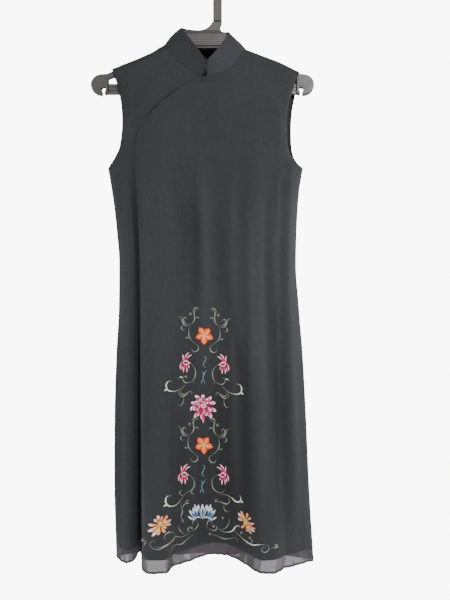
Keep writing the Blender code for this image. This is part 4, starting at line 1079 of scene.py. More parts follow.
# ---------------------------------------------------------------- the lining's edge
def lining_strip(folds, side, extra):
    """The lowest stretch of the lining: the skirt's surface moved in along its normals."""
    foot = HEM_Z + HEM_BAND
    z = np.linspace(foot + LINING_HEIGHT, foot, LINING_ROWS)
    columns = even_columns(0, len(folds) - 1, z)
    strip = skirt(folds, side, z, columns)
    inward = normals(strip) * -side
    strip = strip + inward * (LINING_IN + extra(columns[0]))[None, :, None]
    return strip[:, FOLD_STEPS // 2:-FOLD_STEPS // 2]


def deep_fold(columns):
    """How much deeper the lining lies under the placket's fold."""
    beyond = smooth((0, SIDE_LAST, SIDE_LAST + LINING_FADE, LAST_FOLD), (1, 1, 0, 0), columns)
    return LINING_LAP * under_front(columns) * beyond


for name, folds, side, extra in (("lining_front", FRONT_FOLDS, -1, deep_fold),
                                 ("lining_back", BACK_FOLDS, 1, np.zeros_like)):
    strip = lining_strip(folds, side, extra)
    outside_out = strip if side < 0 else strip[:, ::-1]
    piece = cloth(name + "_cloth", outside_out, LINING_THICK, LINING_CLOTH)
    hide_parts(name)


# ---------------------------------------------------------------- the collar
COLLAR_COLUMNS = 161
COLLAR_ROWS = 15


def nearest_column(row, x, z):
    """The column of a row of points that is nearest to x and z."""
    return int(np.argmin(np.hypot(row[:, 0] - x, row[:, 2] - z)))


def collar_ring():
    """The neck's edge from the front's left end, round the back, to its right end."""
    left = SIDE[0, nearest_column(SIDE[0], *NECK_FRONT[0]):][::-1]
    right = MAIN[:NECK_CENTRE_ROW * UPPER_STEPS + 1, 0]
    first, last = (nearest_column(BACK[0], *NECK_BACK[k]) for k in (0, -1))
    return np.vstack((left[:-1], BACK[0, first:last + 1], right[1:]))


# Painted light on the band's front: how light it is made across it, for y below the second of the two
# values.
COLLAR_PAINTED_LIGHT = ((-48.0, 0.84), (2.0, 0.86), (14.0, 1.15), (34.0, 1.42), (50.0, 1.45))
COLLAR_FRONT_Y = (-4.0, 9.0)


def collar_grid():
    """The standing band: lines from the foot to the top edge, swollen by a sine, ends rounded."""
    shares = np.linspace(0, 1, COLLAR_COLUMNS)
    foot = round_curve(collar_ring(), shares)
    ends = smooth((0, COLLAR_SLIT_REACH, 1 - COLLAR_SLIT_REACH, 1), (-1, 0, 0, 1), shares)
    foot[:, 0] += ends * COLLAR_SLIT / 2
    table = np.array(COLLAR_TOP)
    top = smooth(table[:, 0], table[:, 1:], shares)
    height = np.linalg.norm(top - foot, axis=1)
    around = lengths(foot)
    to_end = np.minimum(around, around[-1] - around)
    corner = np.clip(1 - to_end / COLLAR_CORNER, 0, 1)
    reach = 1 - COLLAR_CORNER / height * (1 - np.sqrt(1 - corner ** 2))
    up = (top - foot) / height[:, None]
    foot = foot + up * COLLAR_LIFT
    rise = np.linspace(0, 1, COLLAR_ROWS)[:, None, None]
    grid = foot[None] + rise * (up * (height * reach - COLLAR_LIFT)[:, None])[None]
    out = np.cross(up, np.gradient(foot, axis=0))
    out /= np.linalg.norm(out, axis=1, keepdims=True)
    share, swell = np.array(COLLAR_SWELLS).T
    out *= smooth(share, swell, shares)[:, None]
    return grid + out[None] * np.sin(np.pi * rise)


COLLAR = collar_grid()[::-1]
# Painted light on the band's front, darker at -x and lighter towards +x.
across, painted_lightness = np.array(COLLAR_PAINTED_LIGHT).T
at_front = np.clip((COLLAR_FRONT_Y[1] - COLLAR[..., 1]) / np.ptp(COLLAR_FRONT_Y), 0, 1)
collar_painted_light = 1 + (np.interp(COLLAR[..., 0], across, painted_lightness) - 1) * at_front
collar = cloth("collar_cloth", COLLAR, COLLAR_THICK, COLLAR_CLOTH, collar_painted_light)
bevel = collar.modifiers.new("soft_edge", "BEVEL")
bevel.width = COLLAR_BEVEL * MM
bevel.segments = 2
bevel.limit_method = "ANGLE"
bevel.angle_limit = math.radians(COLLAR_BEVEL_ANGLE)
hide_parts("collar")


# ---------------------------------------------------------------- seams and turned edges
def on_arm(shoulder):
    """A shoulder seam's path over the hanger's arm."""
    line = round_curve(shoulder, np.linspace(0, 1, SEAM_POINTS))
    return np.column_stack((line[:, 0], np.zeros(SEAM_POINTS), line[:, 1] - SEAM_SINK))


to_slit, from_slit = slice(UNDERARM_ROW, SLIT_ROW), slice(SLIT_ROW, None)
above = slice(UNDERARM_ROW + 1)
seams = [on_arm(SHOULDER_LEFT), on_arm(SHOULDER_RIGHT),
         (SIDE[UNDERARM_ROW:, 0] + BACK[UNDERARM_ROW:, 0]) / 2,
         (MAIN[to_slit, -1] + BACK[to_slit, -1]) / 2,
         round_curve(collar_ring(), np.linspace(0, 1, NECK_POINTS))]
cords("pressed_seams", seams, SEAM, BLACK_CLOTH)
turned = [MAIN[NECK_CENTRE_ROW * UPPER_STEPS:, 0], MAIN[above, -1], SIDE[above, 0],
          BACK[above, 0], BACK[above, -1], MAIN[from_slit, -1], BACK[from_slit, -1]]
cords("turned_edges", turned, EDGE, BLACK_CLOTH)

# ---------------------------------------------------------------- the placket's facing, near black as painted shadow
# How far the near-black facing, painted shadow of the gap, shows past the edge, at shares of the
# placket's length: it gapes between the snaps and closes at them.
SHADOW_FACING_SHOWS = (
    (0, 0.5), (0.1, 0.7), (0.19, 0.6), (0.205, 0.9), (0.25, 2.5), (0.31, 2.9), (0.36, 2.4),
    (0.395, 0.8), (0.415, 0.8), (0.45, 2.4), (0.51, 2.9), (0.56, 2.2), (0.6, 0.9), (0.64, 1.3),
    (0.69, 1.1), (0.74, 0.6), (0.8, 0.9), (0.86, 0.5), (1, 0.4),
)
FACING_UNDER = 9.5        # how far it runs on under the edge
FACING_UP = 0.75          # of its middle above the side front's
FACING_GRID = (200, 7)    # points along and across it
FACING_ROWS_BELOW = 8     # rows of the skirt that it may still lie on
FACING_NEAREST, FACING_SOFTEN = 4, 0.3      # how many of their points give its depth


def shadow_facing_grid():
    """A narrow strip along the placket, lying on the side front, near black as painted shadow: line +
    outer w, at its depth.

    The depth is the mean of the nearest points of the side front, each weighed by 1 / distance.
    """
    shares = np.linspace(0.0, 1.0, FACING_GRID[0])
    line = round_curve(PLACKET, shares)
    along = np.gradient(line, axis=0)
    along /= np.linalg.norm(along, axis=1, keepdims=True)
    outer = np.column_stack((along[:, 1], -along[:, 0]))
    table = np.array(SHADOW_FACING_SHOWS)
    shows = smooth(table[:, 0], table[:, 1], shares)[:, None, None]
    across = np.linspace(0, 1, FACING_GRID[1])[None, :, None]
    flat = line[:, None] + outer[:, None] * (shows - across * (FACING_UNDER + shows))
    field = SIDE[:UNDERARM_ROW + FACING_ROWS_BELOW].reshape(-1, 3)
    away = np.linalg.norm(flat[:, :, None] - field[None, None, :, (0, 2)], axis=-1)
    nearest = np.argsort(away, axis=-1)[..., :FACING_NEAREST]
    weight = 1 / (np.take_along_axis(away, nearest, axis=-1) + FACING_SOFTEN)
    depth = (field[:, 1][nearest] * weight).sum(axis=-1) / weight.sum(axis=-1)
    return np.stack((flat[..., 0], depth - FACING_UP, flat[..., 1]), axis=-1)


# The facing's near-black colour is painted shadow in the placket's gap.
placket_facing_painted_shadow = cloth("placket_facing_painted_shadow", shadow_facing_grid(), FACING_THICK, SHADOW_FACING_CLOTH)

# ---------------------------------------------------------------- embroidery
# The chart's squares are 2 mm and are counted from its left and top edges; its column 203 hangs
# under the hook and its row -14 is the hook's inner top. Everything below is drawn on it.
CHART = 2.0
CHART_HOOK = (203.0, -14.0)
CHART_AXIS = (204.4, 334.0, -0.0095)      # the motif's middle: column, at row, and its drift
CHART_TILT = 0.045                        # how much lower the motif's right half hangs
SECOND_SCROLL = (-0.8, 110.0)

SAGE, PALE_SAGE = srgb(78, 88, 78), srgb(112, 121, 108)
CREAM, IVORY = srgb(158, 164, 146), srgb(232, 238, 216)
CRIMSON = srgb(112, 0, 30)
MAGENTA, ROSE, BLUSH = srgb(176, 0, 70), srgb(242, 50, 124), srgb(255, 224, 238)
BRICK, ORANGE, PEACH = srgb(120, 20, 4), srgb(252, 88, 24), srgb(255, 178, 124)
TANGERINE, SHELL_PINK = srgb(255, 132, 62), srgb(255, 234, 218)
CORAL, BUTTER, NAVY = srgb(228, 76, 62), srgb(255, 214, 90), srgb(14, 30, 74)
SKY, PALE_SKY, ICE = srgb(52, 100, 146), srgb(136, 172, 196), srgb(240, 244, 250)

SCROLL = (
    # half width of the middle, and points on the chart
    (1.1, (199.3, 308.9), (196.6, 307.6), (194.2, 308.6), (192.5, 311.2)),
    (0.8, (198.9, 309.4), (195.9, 309.9), (194.2, 311.9), (194.7, 315), (195.4, 318)),
    (1.1, (192.9, 311), (194, 314.5), (194.6, 318.5), (193.2, 322.3), (190.3, 324.8)),
    (0.8, (194.6, 318.9), (196.8, 317.3), (198.9, 317.4), (198.4, 319.4)),
    (1, (177.9, 316.5), (180.3, 316.6), (181.6, 319.2), (182.7, 322.2), (185.2, 325.6), (190, 325.4)),
    (0.7, (181, 316.9), (182.9, 320.4), (185.3, 323.7), (189.8, 324)),
    (0.8, (186.2, 323.6), (184, 320.8), (183.5, 318.4), (185.2, 317.3), (186.7, 318.9),
     (185.7, 320.6)),
    (0.9, (184.4, 325.3), (182.2, 326), (181.3, 328), (182.6, 330), (184.9, 329.7)),
    (0.9, (189.9, 325.2), (189.2, 328.2), (188.7, 332), (189.2, 336.4), (192, 340.6), (196.1, 344.1)),
    (1, (195.4, 343.6), (198.2, 346.1), (198.3, 349.4), (195.9, 351.6), (192.8, 351), (191.4, 347.6)),
    (1.1, (185.2, 336.2), (186.5, 337.7), (189.2, 337.8)),
)
SCROLL_BUD = ((190.6, 313.8), 1.1)

UPPER_VINES = (
    (0.9, (190.6, 363.2), (193.4, 366.2), (195.6, 371.2), (195.1, 376.4), (193.4, 380), (193.9, 383),
     (196.2, 383)),
    (0.9, (192.8, 380.6), (189.8, 382.2), (186.3, 382.8), (183.6, 381), (182.6, 378.2), (184, 376),
     (185.8, 376.6)),
    (1.3, (178.2, 378.9), (180.4, 377.1), (182.9, 377.5)),
    (1.3, (185.6, 384.6), (181.6, 388), (177.6, 390.3), (172.6, 391.3), (168, 390.2), (166.2, 386.8),
     (167, 382.6), (170.2, 380.9), (172.4, 381.2)),
    (1.6, (168.8, 390.6), (166.6, 389.6), (164, 391)),
    (0.9, (180.9, 388.8), (178.8, 391.4), (179.6, 395), (182.8, 396.5), (186.2, 394.6), (189.6, 391.4),
     (191.9, 392.4), (190.6, 395)),
    (0.8, (182, 389.4), (180.5, 392.4), (183.2, 394.6), (186, 393.2), (188.6, 391.9)),
    (0.8, (183.2, 396.6), (183.6, 400.6), (181.9, 404.4), (179.4, 405.6), (178.1, 403.6)),
)
LOWER_VINES = (
    (0.9, (188.2, 474.8), (192.3, 477.4), (194.4, 482), (193.4, 487.4), (189.6, 490.8),
     (185.2, 493.4)),
    (0.9, (193, 488.4), (191.4, 492.6), (194.6, 494.2)),
    (1.4, (185.2, 493.4), (181.8, 498.2), (178.2, 503), (173.4, 505.9), (168.2, 505.7), (165.5, 501.4),
     (166.9, 496.4), (171.6, 495.8)),
    (1.7, (169.6, 506), (166.6, 504.8), (163.2, 506.6)),
    (0.9, (183.6, 495.6), (180.4, 494.4), (179.6, 491.4), (182.6, 490.2)),
    (1, (180.6, 502.4), (181.2, 507), (182.4, 511.6), (181, 516.6), (182.8, 522.4)),
    (0.9, (182.2, 508.4), (184, 504.6), (187.2, 502.4)),
    (0.8, (178.4, 524.8), (179.2, 529.2), (182.2, 532.6), (184.4, 533.8)),
)
RIGHT_VINES = (
    (0.9, (218.6, 474.2), (214, 476.6), (211.8, 482), (213.3, 488.4), (218.2, 492.2), (222.9, 492.2),
     (224.8, 488.8)),
    (1.3, (220.6, 494.2), (226.8, 494.8), (231.6, 497.6), (235.6, 501.2), (239.4, 501.6), (241, 498.2),
     (239.4, 494.6)),
    (1.6, (238.6, 501.6), (241, 500.8), (242.9, 503.2)),
    (1.2, (228.4, 497), (229.6, 501), (226.8, 503.9), (221.6, 502.2), (216.9, 500.8)),
    (0.9, (224.2, 504.6), (224, 508.6), (227.2, 511.8), (229.4, 510.8)),
    (0.8, (228.9, 517.4), (229, 522.8), (225.6, 527.8), (219.6, 530)),
)
HEM_VINES = (
    (0.8, (197.4, 520.2), (198, 524.6), (195.4, 528.6), (191.4, 531.2)),
    (0.8, (196.8, 521), (194.2, 519.8), (192.6, 521.8), (193.4, 525)),
    (0.9, (191.9, 527.6), (189.4, 526.9), (187.8, 529), (188.6, 531.4), (190.6, 530.8)),
    (1.1, (189.8, 532.2), (185.8, 534.9), (181, 536.8), (175.4, 536.6), (171.4, 541.4), (165.8, 545.6),
     (159, 549.4), (152.4, 548), (149.8, 544), (152.2, 541.2), (155.4, 541.9)),
    (0.8, (174.6, 539.6), (168.4, 543.6), (160.6, 547.4), (154.4, 546.4)),
    (1, (175, 536.4), (173.4, 532.7), (169.2, 532), (165.2, 534.4), (164.2, 537.4), (166.2, 539.6)),
    (0.8, (193.6, 533.8), (189.8, 536.6), (185.8, 540.4), (181, 544), (176.4, 544.2), (173, 546.4),
     (171.8, 550.6)),
    (0.8, (143, 539.4), (145.6, 541.2), (144.6, 544.6), (142.8, 546.8)),
    (0.8, (208.2, 529), (206.8, 524.4), (208.8, 520.6), (211.6, 521.4), (211.2, 524.4)),
    (0.9, (213.4, 526.4), (215.8, 525.6), (217, 528), (215.4, 530), (212.2, 530.2), (208.8, 528.4)),
    (1.3, (218.9, 527.6), (221.4, 530.7), (227.2, 532.1), (232.6, 530.6), (235.4, 526.8),
     (238.8, 525.6), (240.6, 527.4)),
    (1.3, (233.6, 529.9), (237.4, 533.4), (242.4, 538), (247.8, 542.4), (253.2, 544.8), (259, 544.6),
     (264.4, 544.4)),
    (0.8, (264, 544.3), (268.4, 546), (268, 550.8), (263.8, 552.2), (261.4, 549.4), (263.4, 547),
     (265.4, 548.4)),
    (0.8, (251.6, 544.4), (252.2, 541), (250.2, 538)),
    (0.8, (269.6, 549.6), (272.2, 547.4), (274.4, 547.8), (277.4, 547), (277, 544.6), (274.4, 544.9)),
    (0.8, (210.6, 534.2), (216.6, 535.4), (223.2, 538.3), (229, 538.6), (234.6, 537.5), (237.6, 539.6),
     (236.6, 541.6)),
)
BUDS = (
    # centre and radius
    ((186.2, 376.6), 1), ((187.6, 502.2), 1.9), ((241.8, 532.6), 1.1), ((191.7, 527.8), 0.9),
    ((213.6, 526.2), 1), ((276.2, 545.4), 1.1), ((222.9, 518), 0.9), ((182.9, 520.6), 1),
    ((210, 533.9), 0.9), ((216.4, 500.7), 1.5), ((250.2, 537.8), 1), ((143.4, 539.6), 1.2),
)
RIBBONS = (
    (0.8, (203, 357.4), (204.6, 356.4), (206, 358.2), (204.8, 361.4), (203.5, 364.2), (204.4, 366.6),
     (206.2, 367.4)),
    (0.9, (206.8, 369.6), (205.2, 372.4), (203.4, 375.2), (203.3, 379.4), (204.8, 382.6),
     (204.2, 384.4)),
    (0.7, (202.2, 371), (203.4, 373), (205.4, 374.6)),
    (0.7, (201.4, 384.2), (201.8, 381.6), (203.4, 379.8)),
    (0.8, (201.6, 466), (203.4, 465), (204.6, 467), (203.2, 470.4), (202, 473.2), (203.2, 475.8),
     (204.8, 476.6)),
    (0.9, (205.4, 478.6), (203.8, 481.6), (202, 484.4), (202, 488.6), (203.6, 491.8), (203, 494)),
    (0.7, (200.8, 480.2), (202, 482), (204, 483.8)),
    (0.7, (200, 493.4), (200.6, 490.8), (202, 489)),
)
# Petals of the pink side flowers, from their eye: root, tip, bend and half width.
SPIDER_PETALS = (
    ((-3, 0.4), (-3.4, -8.5), 0.5, 1.15), ((-3.2, -2.4), (-5.9, 6.6), 0.9, 1.15),
    ((-1.2, -1.6), (3.3, -10.3), -1.6, 1.25), ((0.6, -1.6), (6.2, -7.7), -1.7, 1.2),
    ((-1.6, 2), (-2.5, 9.8), 0.3, 1.15), ((0.4, 2), (0.8, 9.8), -0.2, 1.15),
    ((2.2, 0.2), (4.6, 0.3), 0.2, 1.1), ((1.9, 1.2), (3, 5.6), -0.2, 0.9),
    ((-2.6, 1.6), (-4.2, 7.6), 0.5, 0.8),
)
# Rings of its eye: how far below it each lies, its half length, half height and tint.
SPIDER_EYE = (
    (0.0, 3.4, 4.9, BLUSH), (0.0, 3.1, 3.3, ROSE), (0.0, 2.7, 2.5, CRIMSON), (0.0, 2.0, 1.2, MAGENTA),
)
BIG_GROUND = 9.6          # radius of the crimson ground under the big flower
# Rings of the big flower: petals, inner and outer radius, half width and height off the cloth.
BIG_RINGS = (
    (10, 3.2, 14.3, 3.9, 0.0), (8, 2.4, 10.6, 3.6, 0.55), (6, 1.2, 7.2, 3.2, 1.1), (4, 0.4, 4.2, 2.4, 1.7),
)
SPIDER_BASE = ((-0.4, -5.4), (-0.6, 6.2), 0.0, 3.4)
LEFT_MUM = (
    # root, tip, bend, half width and tint of the tip, from the middle
    ((-3, 0.2), (-12.2, 0.6), -1, 2.4, BLUSH), ((-2.6, 2), (-12.6, 7.4), -1.2, 2.8, BLUSH),
    ((-1.8, 3.2), (-8.4, 12.6), -0.8, 2.7, BLUSH), ((-0.4, 3.6), (-2.6, 11.6), -0.4, 2.7, PEACH),
    ((1.6, 3), (4.8, 8.8), 0.4, 2.6, PEACH), ((3.2, 1), (10.6, 0.2), 0.3, 2.3, CREAM),
    ((3, -0.8), (10.4, -4.6), 0.9, 2.3, CREAM), ((2.2, -2.4), (6.6, -8.6), 0.9, 2.5, CORAL),
    ((0.4, -2.8), (1.8, -7.8), 0.3, 2.3, CORAL), ((-1.2, -2.6), (-2, -8.8), -0.4, 2.6, BLUSH),
    ((-2.4, -1.4), (-6, -5), -0.4, 2.2, BLUSH), ((-1.2, 1), (-7.4, 5.6), -0.4, 2.4, PEACH),
    ((0.4, 1.4), (-3.4, 8.2), -0.3, 2.4, BUTTER), ((1.2, 0.6), (6.2, 4.2), 0.3, 2.2, PEACH),
    ((1.2, -0.6), (5.8, -3.2), 0.3, 2, PEACH),
)
RIGHT_MUM = (
    ((-2, -2.4), (-8.2, -9.2), -0.5, 1.9, BLUSH), ((-1.2, -3.2), (-5.4, -11), -0.3, 1.9, PEACH),
    ((-2.4, -0.8), (-8.2, -3.8), -0.5, 1.9, BLUSH), ((0.2, -3.4), (0.8, -8.8), 0.5, 2.2, PEACH),
    ((1.6, -2.2), (4.6, -4.2), 0.4, 2, PEACH), ((2.4, 0), (8.2, 2.2), 0.9, 1.7, BLUSH),
    ((2.4, 1.6), (9.4, 7.2), 1.1, 1.8, CORAL), ((2.2, 2.8), (8.8, 10.2), 0.9, 1.8, BLUSH),
    ((1.2, 3.6), (5.6, 12.4), 0.6, 1.9, CREAM), ((0, 3.8), (1.8, 10.2), 0.2, 2.2, CORAL),
    ((-1.8, 2.8), (-4.8, 6.2), -0.5, 1.9, PEACH), ((-1, -0.6), (-3, -6), -0.3, 2.4, PEACH),
    ((0.2, 0.6), (2.6, 6.4), 0.3, 2.6, ORANGE), ((-0.6, 0.8), (-2.2, 3.8), -0.2, 2.2, CORAL),
)
LOTUS = (
    # root, tip, bend and half width, back to front
    ((-1, 2), (-7.6, -6.9), -2.6, 3.2), ((1, 2), (8.6, -7), 2.6, 3.2),
    ((-1.6, 5), (-4, -6.6), -0.6, 3.6), ((1.6, 5), (4.6, -6.7), 0.6, 3.6),
    ((-4.6, 5.6), (-14.3, 5), -3.6, 2.6), ((4.6, 5.6), (14.7, 5.6), 3.6, 2.6),
    ((-4, 6.2), (-13, -1.2), -1.8, 3.6), ((4, 6.2), (13.2, -1.6), 1.8, 3.6),
    ((-3.2, 6.6), (-9.4, -3.6), -1.4, 4.2), ((3.2, 6.6), (9.8, -3.9), 1.4, 4.2),
    ((-1.8, 7), (-5.2, -4.6), -1.2, 4), ((1.8, 7), (5.6, -4.8), 1.2, 4),
    ((0, 7.6), (0.1, -7.4), 0, 4.2),
)
DOME = 0.75               # height of satin stitches over their padding
LOW_DOME = 0.6            # the same for vines and curls
DOME_ROUND = 0.7          # how round the dome is across: lower is flatter on top
DOME_FULL = 1.4           # the dome is full where it is wider than 1 / 1.4 of its widest
STITCH_FOOT = -0.2        # how far its flat underside is sunk in the cloth
STITCH_SIDES = 10
THICK_FROM = 1.25         # vines wider than this swell into a leaf
VINE_WIDTH, THICK_WIDTH, RIBBON_WIDTH = 1.06, 0.82, 0.7
VINE_ROWS, VINE_LEAST_ROWS = 1.4, 8         # rows of points in a unit of the chart, and at least
# Width at the ends, what it gains, how late along the vine and how sharply.
THIN_SWELL, THICK_SWELL = (0.45, 0.55, 1.2, 0.6), (0.35, 0.95, 1.9, 1.6)
PETAL_LEAST = 0.12        # half width of a petal at its very ends
PETAL_FULL, PETAL_POINT = 0.8, 0.75         # where it is widest, and how pointed its ends are
PETAL_ROWS = 11
BUD_ROWS, BUD_END = 9, 0.002
CURL_ROWS = 12
CURL_FROM, CURL_TURN = 0.6, 1.7             # where it begins, and half turns it makes
CURL_REACH, CURL_SHRINK = 1.25, 0.65
CURL_WIDTH = (0.45, 0.55)                   # at its start, and what it gains


def seen(points):
    """Chart columns and rows as x and z in mm at the hook's depth."""
    points = np.asarray(points, float)
    return np.stack((points[..., 0] - CHART_HOOK[0], CHART_HOOK[1] - points[..., 1]), axis=-1) * CHART


def turned_over(points):
    """The chart's points of the motif's left half, turned over about its drifting middle."""
    points = np.array(points, float)
    axis = CHART_AXIS[0] + CHART_AXIS[2] * (points[:, 1] - CHART_AXIS[1])
    apart = 2 * (axis - points[:, 0])
    return np.column_stack((points[:, 0] + apart, points[:, 1] + CHART_TILT * apart))


FIELD_SPAN, FIELD_STEP = (-140.0, 226.0), 1.5
FIELD_X = np.arange(*FIELD_SPAN, FIELD_STEP)
FIELD_Z = MAIN[:, :, 2].mean(axis=1)
FIELD_Y = np.array([np.interp(FIELD_X, row[:, 0], row[:, 1]) for row in MAIN])
VIEW_TURNS = 4            # times the place on the cloth is drawn nearer
SLOPE_STEP = 1.0          # over which the cloth's lean is measured


def front_depth(x, z):
    """y of the main front's middle surface at x and z, read between the rows of its grid."""
    row = np.interp(-z, -FIELD_Z, np.arange(len(FIELD_Z)))
    col = (np.clip(x, FIELD_X[0], FIELD_X[-1]) - FIELD_X[0]) / (FIELD_X[1] - FIELD_X[0])
    i = np.minimum(row.astype(int), len(FIELD_Z) - 2)
    j = np.minimum(col.astype(int), len(FIELD_X) - 2)
    a, b = row - i, col - j
    return ((1 - a) * ((1 - b) * FIELD_Y[i, j] + b * FIELD_Y[i, j + 1])
            + a * ((1 - b) * FIELD_Y[i + 1, j] + b * FIELD_Y[i + 1, j + 1]))


def on_front(points, raised):
    """Chart points laid on the main front along the view, and raised off its outside."""
    target = seen(points)
    x, z = target[..., 0], target[..., 1]
    for _ in range(VIEW_TURNS):
        share = (front_depth(x, z) - EYE[1]) / -EYE[1]
        x = EYE[0] + (target[..., 0] - EYE[0]) * share
        z = EYE[2] + (target[..., 1] - EYE[2]) * share
    y = front_depth(x, z)
    lean_x = (front_depth(x + SLOPE_STEP, z) - front_depth(x - SLOPE_STEP, z)) / (2 * SLOPE_STEP)
    lean_z = (front_depth(x, z + SLOPE_STEP) - front_depth(x, z - SLOPE_STEP)) / (2 * SLOPE_STEP)
    normal = np.stack((lean_x, -np.ones_like(x), lean_z), axis=-1)
    normal /= np.linalg.norm(normal, axis=-1, keepdims=True)
    return np.stack((x, y, z), axis=-1) + normal * (SHELL / 2 + raised)[..., None]


def stitches(path, half_width, tints, lift=0.0, dome=DOME):
    """Satin stitches along a chart path: a flat-bottomed dome carried along it on the cloth.

    At each point the outline is path + across w cos(a), raised by lift + dome w' sin(a)^0.7
    above the cloth for the upper half and sunk a little into it for the lower half.
    """
    along = np.gradient(path, axis=0)
    along /= np.maximum(np.linalg.norm(along, axis=1, keepdims=True), TINY)
    across = np.stack((-along[:, 1], along[:, 0]), axis=1)
    turn = np.linspace(0, 2 * np.pi, STITCH_SIDES, endpoint=False)
    reach = across[:, None] * (half_width / CHART)[:, None, None]
    outline = path[:, None] + reach * np.cos(turn)[None, :, None]
    up = np.maximum(np.sin(turn), 0) ** DOME_ROUND * dome
    fullness = np.minimum(half_width / max(half_width.max(), TINY) * DOME_FULL, 1.0)
    raised = lift + up[None] * fullness[:, None]
    grid = on_front(outline, np.where(np.sin(turn)[None] > -TINY, raised, STITCH_FOOT))
    t = np.linspace(0, 1, len(path))
    places, colours = np.array([s[0] for s in tints]), np.array([s[1] for s in tints])
    tint = np.column_stack([np.interp(t, places, colours[:, k]) for k in range(3)])
    tint = np.repeat(tint[:, None], STITCH_SIDES, axis=1)
    uv = np.stack(np.broadcast_arrays(lengths(path)[:, None] * CHART,
                                      np.cos(turn)[None] * half_width[:, None]), axis=-1) * MM
    return grid, uv, tint


def vine(row, tints, lift=0.0, width=VINE_WIDTH):
    """A vine: stitches along a smooth line, of width ends + gain sin(pi t^late)^sharpness."""
    line = np.array(row[1:], float)
    t = np.linspace(0, 1, max(VINE_LEAST_ROWS, int(lengths(line)[-1] * VINE_ROWS)))
    thick = row[0] > THICK_FROM
    ends, gain, late, sharpness = THICK_SWELL if thick else THIN_SWELL
    swell = ends + gain * np.sin(np.pi * t ** late) ** sharpness
    wide = (THICK_WIDTH if thick else width) * row[0] * swell
    return stitches(round_curve(line, t), wide, tints, lift, LOW_DOME)


def petal(centre, root, tip, bend, half_width, tints, lift=0.0, full=PETAL_FULL,
          count=PETAL_ROWS, point=PETAL_POINT):
    """A petal: a bent line from root to tip, of width sin(pi t^full)^point, blunt towards its tip."""
    root, tip = np.array(centre) + root, np.array(centre) + tip
    t = np.linspace(0, 1, count)[:, None]
    run = tip - root
    beside = np.array((-run[1], run[0])) / np.linalg.norm(run)
    path = root + run * t + beside * bend * 4 * t * (1 - t)
    swell = np.clip(np.sin(np.pi * t[:, 0] ** full), 0, 1) ** point
    return stitches(path, half_width * CHART / 2 * swell + PETAL_LEAST, tints, lift)


def layered(centre, way, root, tip, bend, half_width, lift, layers):
    """One petal sewn in layers: each takes shares of root, tip, bend and width, and adds a little.

    The way is a direction that root and tip are distances along, or turns their places over.
    """
    for roots, longer, tips, bends, widths, wider, higher, full, point, tints in layers:
        yield petal(centre, way * root * roots, way * np.add(tip, longer) * tips, bend * bends,
                    half_width * widths + wider, tints, lift + higher, full, point=point)


def bud(centre, radius, tints, lift=0.1):
    """A knot: a short, round petal."""
    path = np.array(centre) + np.array(((-1.0, 0.0), (1.0, 0.0))) * radius
    t = np.linspace(0, 1, BUD_ROWS)
    line = path[0] + (path[1] - path[0]) * t[:, None]
    width = radius * CHART * np.sqrt(np.maximum(1 - (2 * t - 1) ** 2, BUD_END))
    return stitches(line, width, tints, lift)


def even(tint):
    """One colour from root to tip."""
    return ((0, tint), (1, tint))


VINE_TINTS = ((0.0, SAGE), (0.3, PALE_SAGE), (0.5, CREAM), (0.7, PALE_SAGE), (1.0, SAGE))
THICK_TINTS = ((0.0, PALE_SAGE), (0.35, CREAM), (0.55, IVORY), (0.8, IVORY), (0.9, CREAM),
               (1.0, PALE_SAGE))
CURL_TINTS = ((0.0, PALE_SAGE), (0.6, CREAM), (1.0, CREAM))
CURL_LIFT = 0.05


def curl(centre, radius, way=1):
    """A curled tip: most of a turn whose radius shrinks to about a third."""
    t = np.linspace(0, 1, CURL_ROWS)
    turn = way * (CURL_FROM + CURL_TURN * np.pi * t)
    reach = radius * CURL_REACH * (1 - CURL_SHRINK * t)
    line = np.array(centre) + np.column_stack((np.cos(turn), np.sin(turn))) * reach[:, None]
    return stitches(line, CURL_WIDTH[0] + CURL_WIDTH[1] * t, CURL_TINTS, CURL_LIFT, LOW_DOME)


def both_halves(rows):
    """Rows of the motif's left half and the same rows turned over to its right."""
    return list(rows) + [(row[0], *map(tuple, turned_over(row[1:]))) for row in rows]


def moved(row, offset):
    """A row moved on the chart."""
    return (row[0], *((c + offset[0], r + offset[1]) for c, r in row[1:]))


def vine_tints(row):
    """Paler up the middle where a vine swells into a leaf."""
    return THICK_TINTS if row[0] > THICK_FROM else VINE_TINTS


scroll_rows = both_halves(SCROLL + UPPER_VINES) + [
    moved(row, SECOND_SCROLL) for row in both_halves(SCROLL)]
scroll_rows += list(LOWER_VINES + RIGHT_VINES + HEM_VINES)
scroll_buds = [(tuple(p), SCROLL_BUD[1]) for p in (SCROLL_BUD[0], turned_over([SCROLL_BUD[0]])[0])]
scroll_buds += [((c + SECOND_SCROLL[0], r + SECOND_SCROLL[1]), radius)
                for (c, r), radius in scroll_buds]
sewn = [vine(row, vine_tints(row)) for row in scroll_rows]
sewn += [curl(*tip, way=1 - 2 * (k % 2)) for k, tip in enumerate((*scroll_buds, *BUDS))]
strands("embroidery_scrolls", sewn, FLOSS)

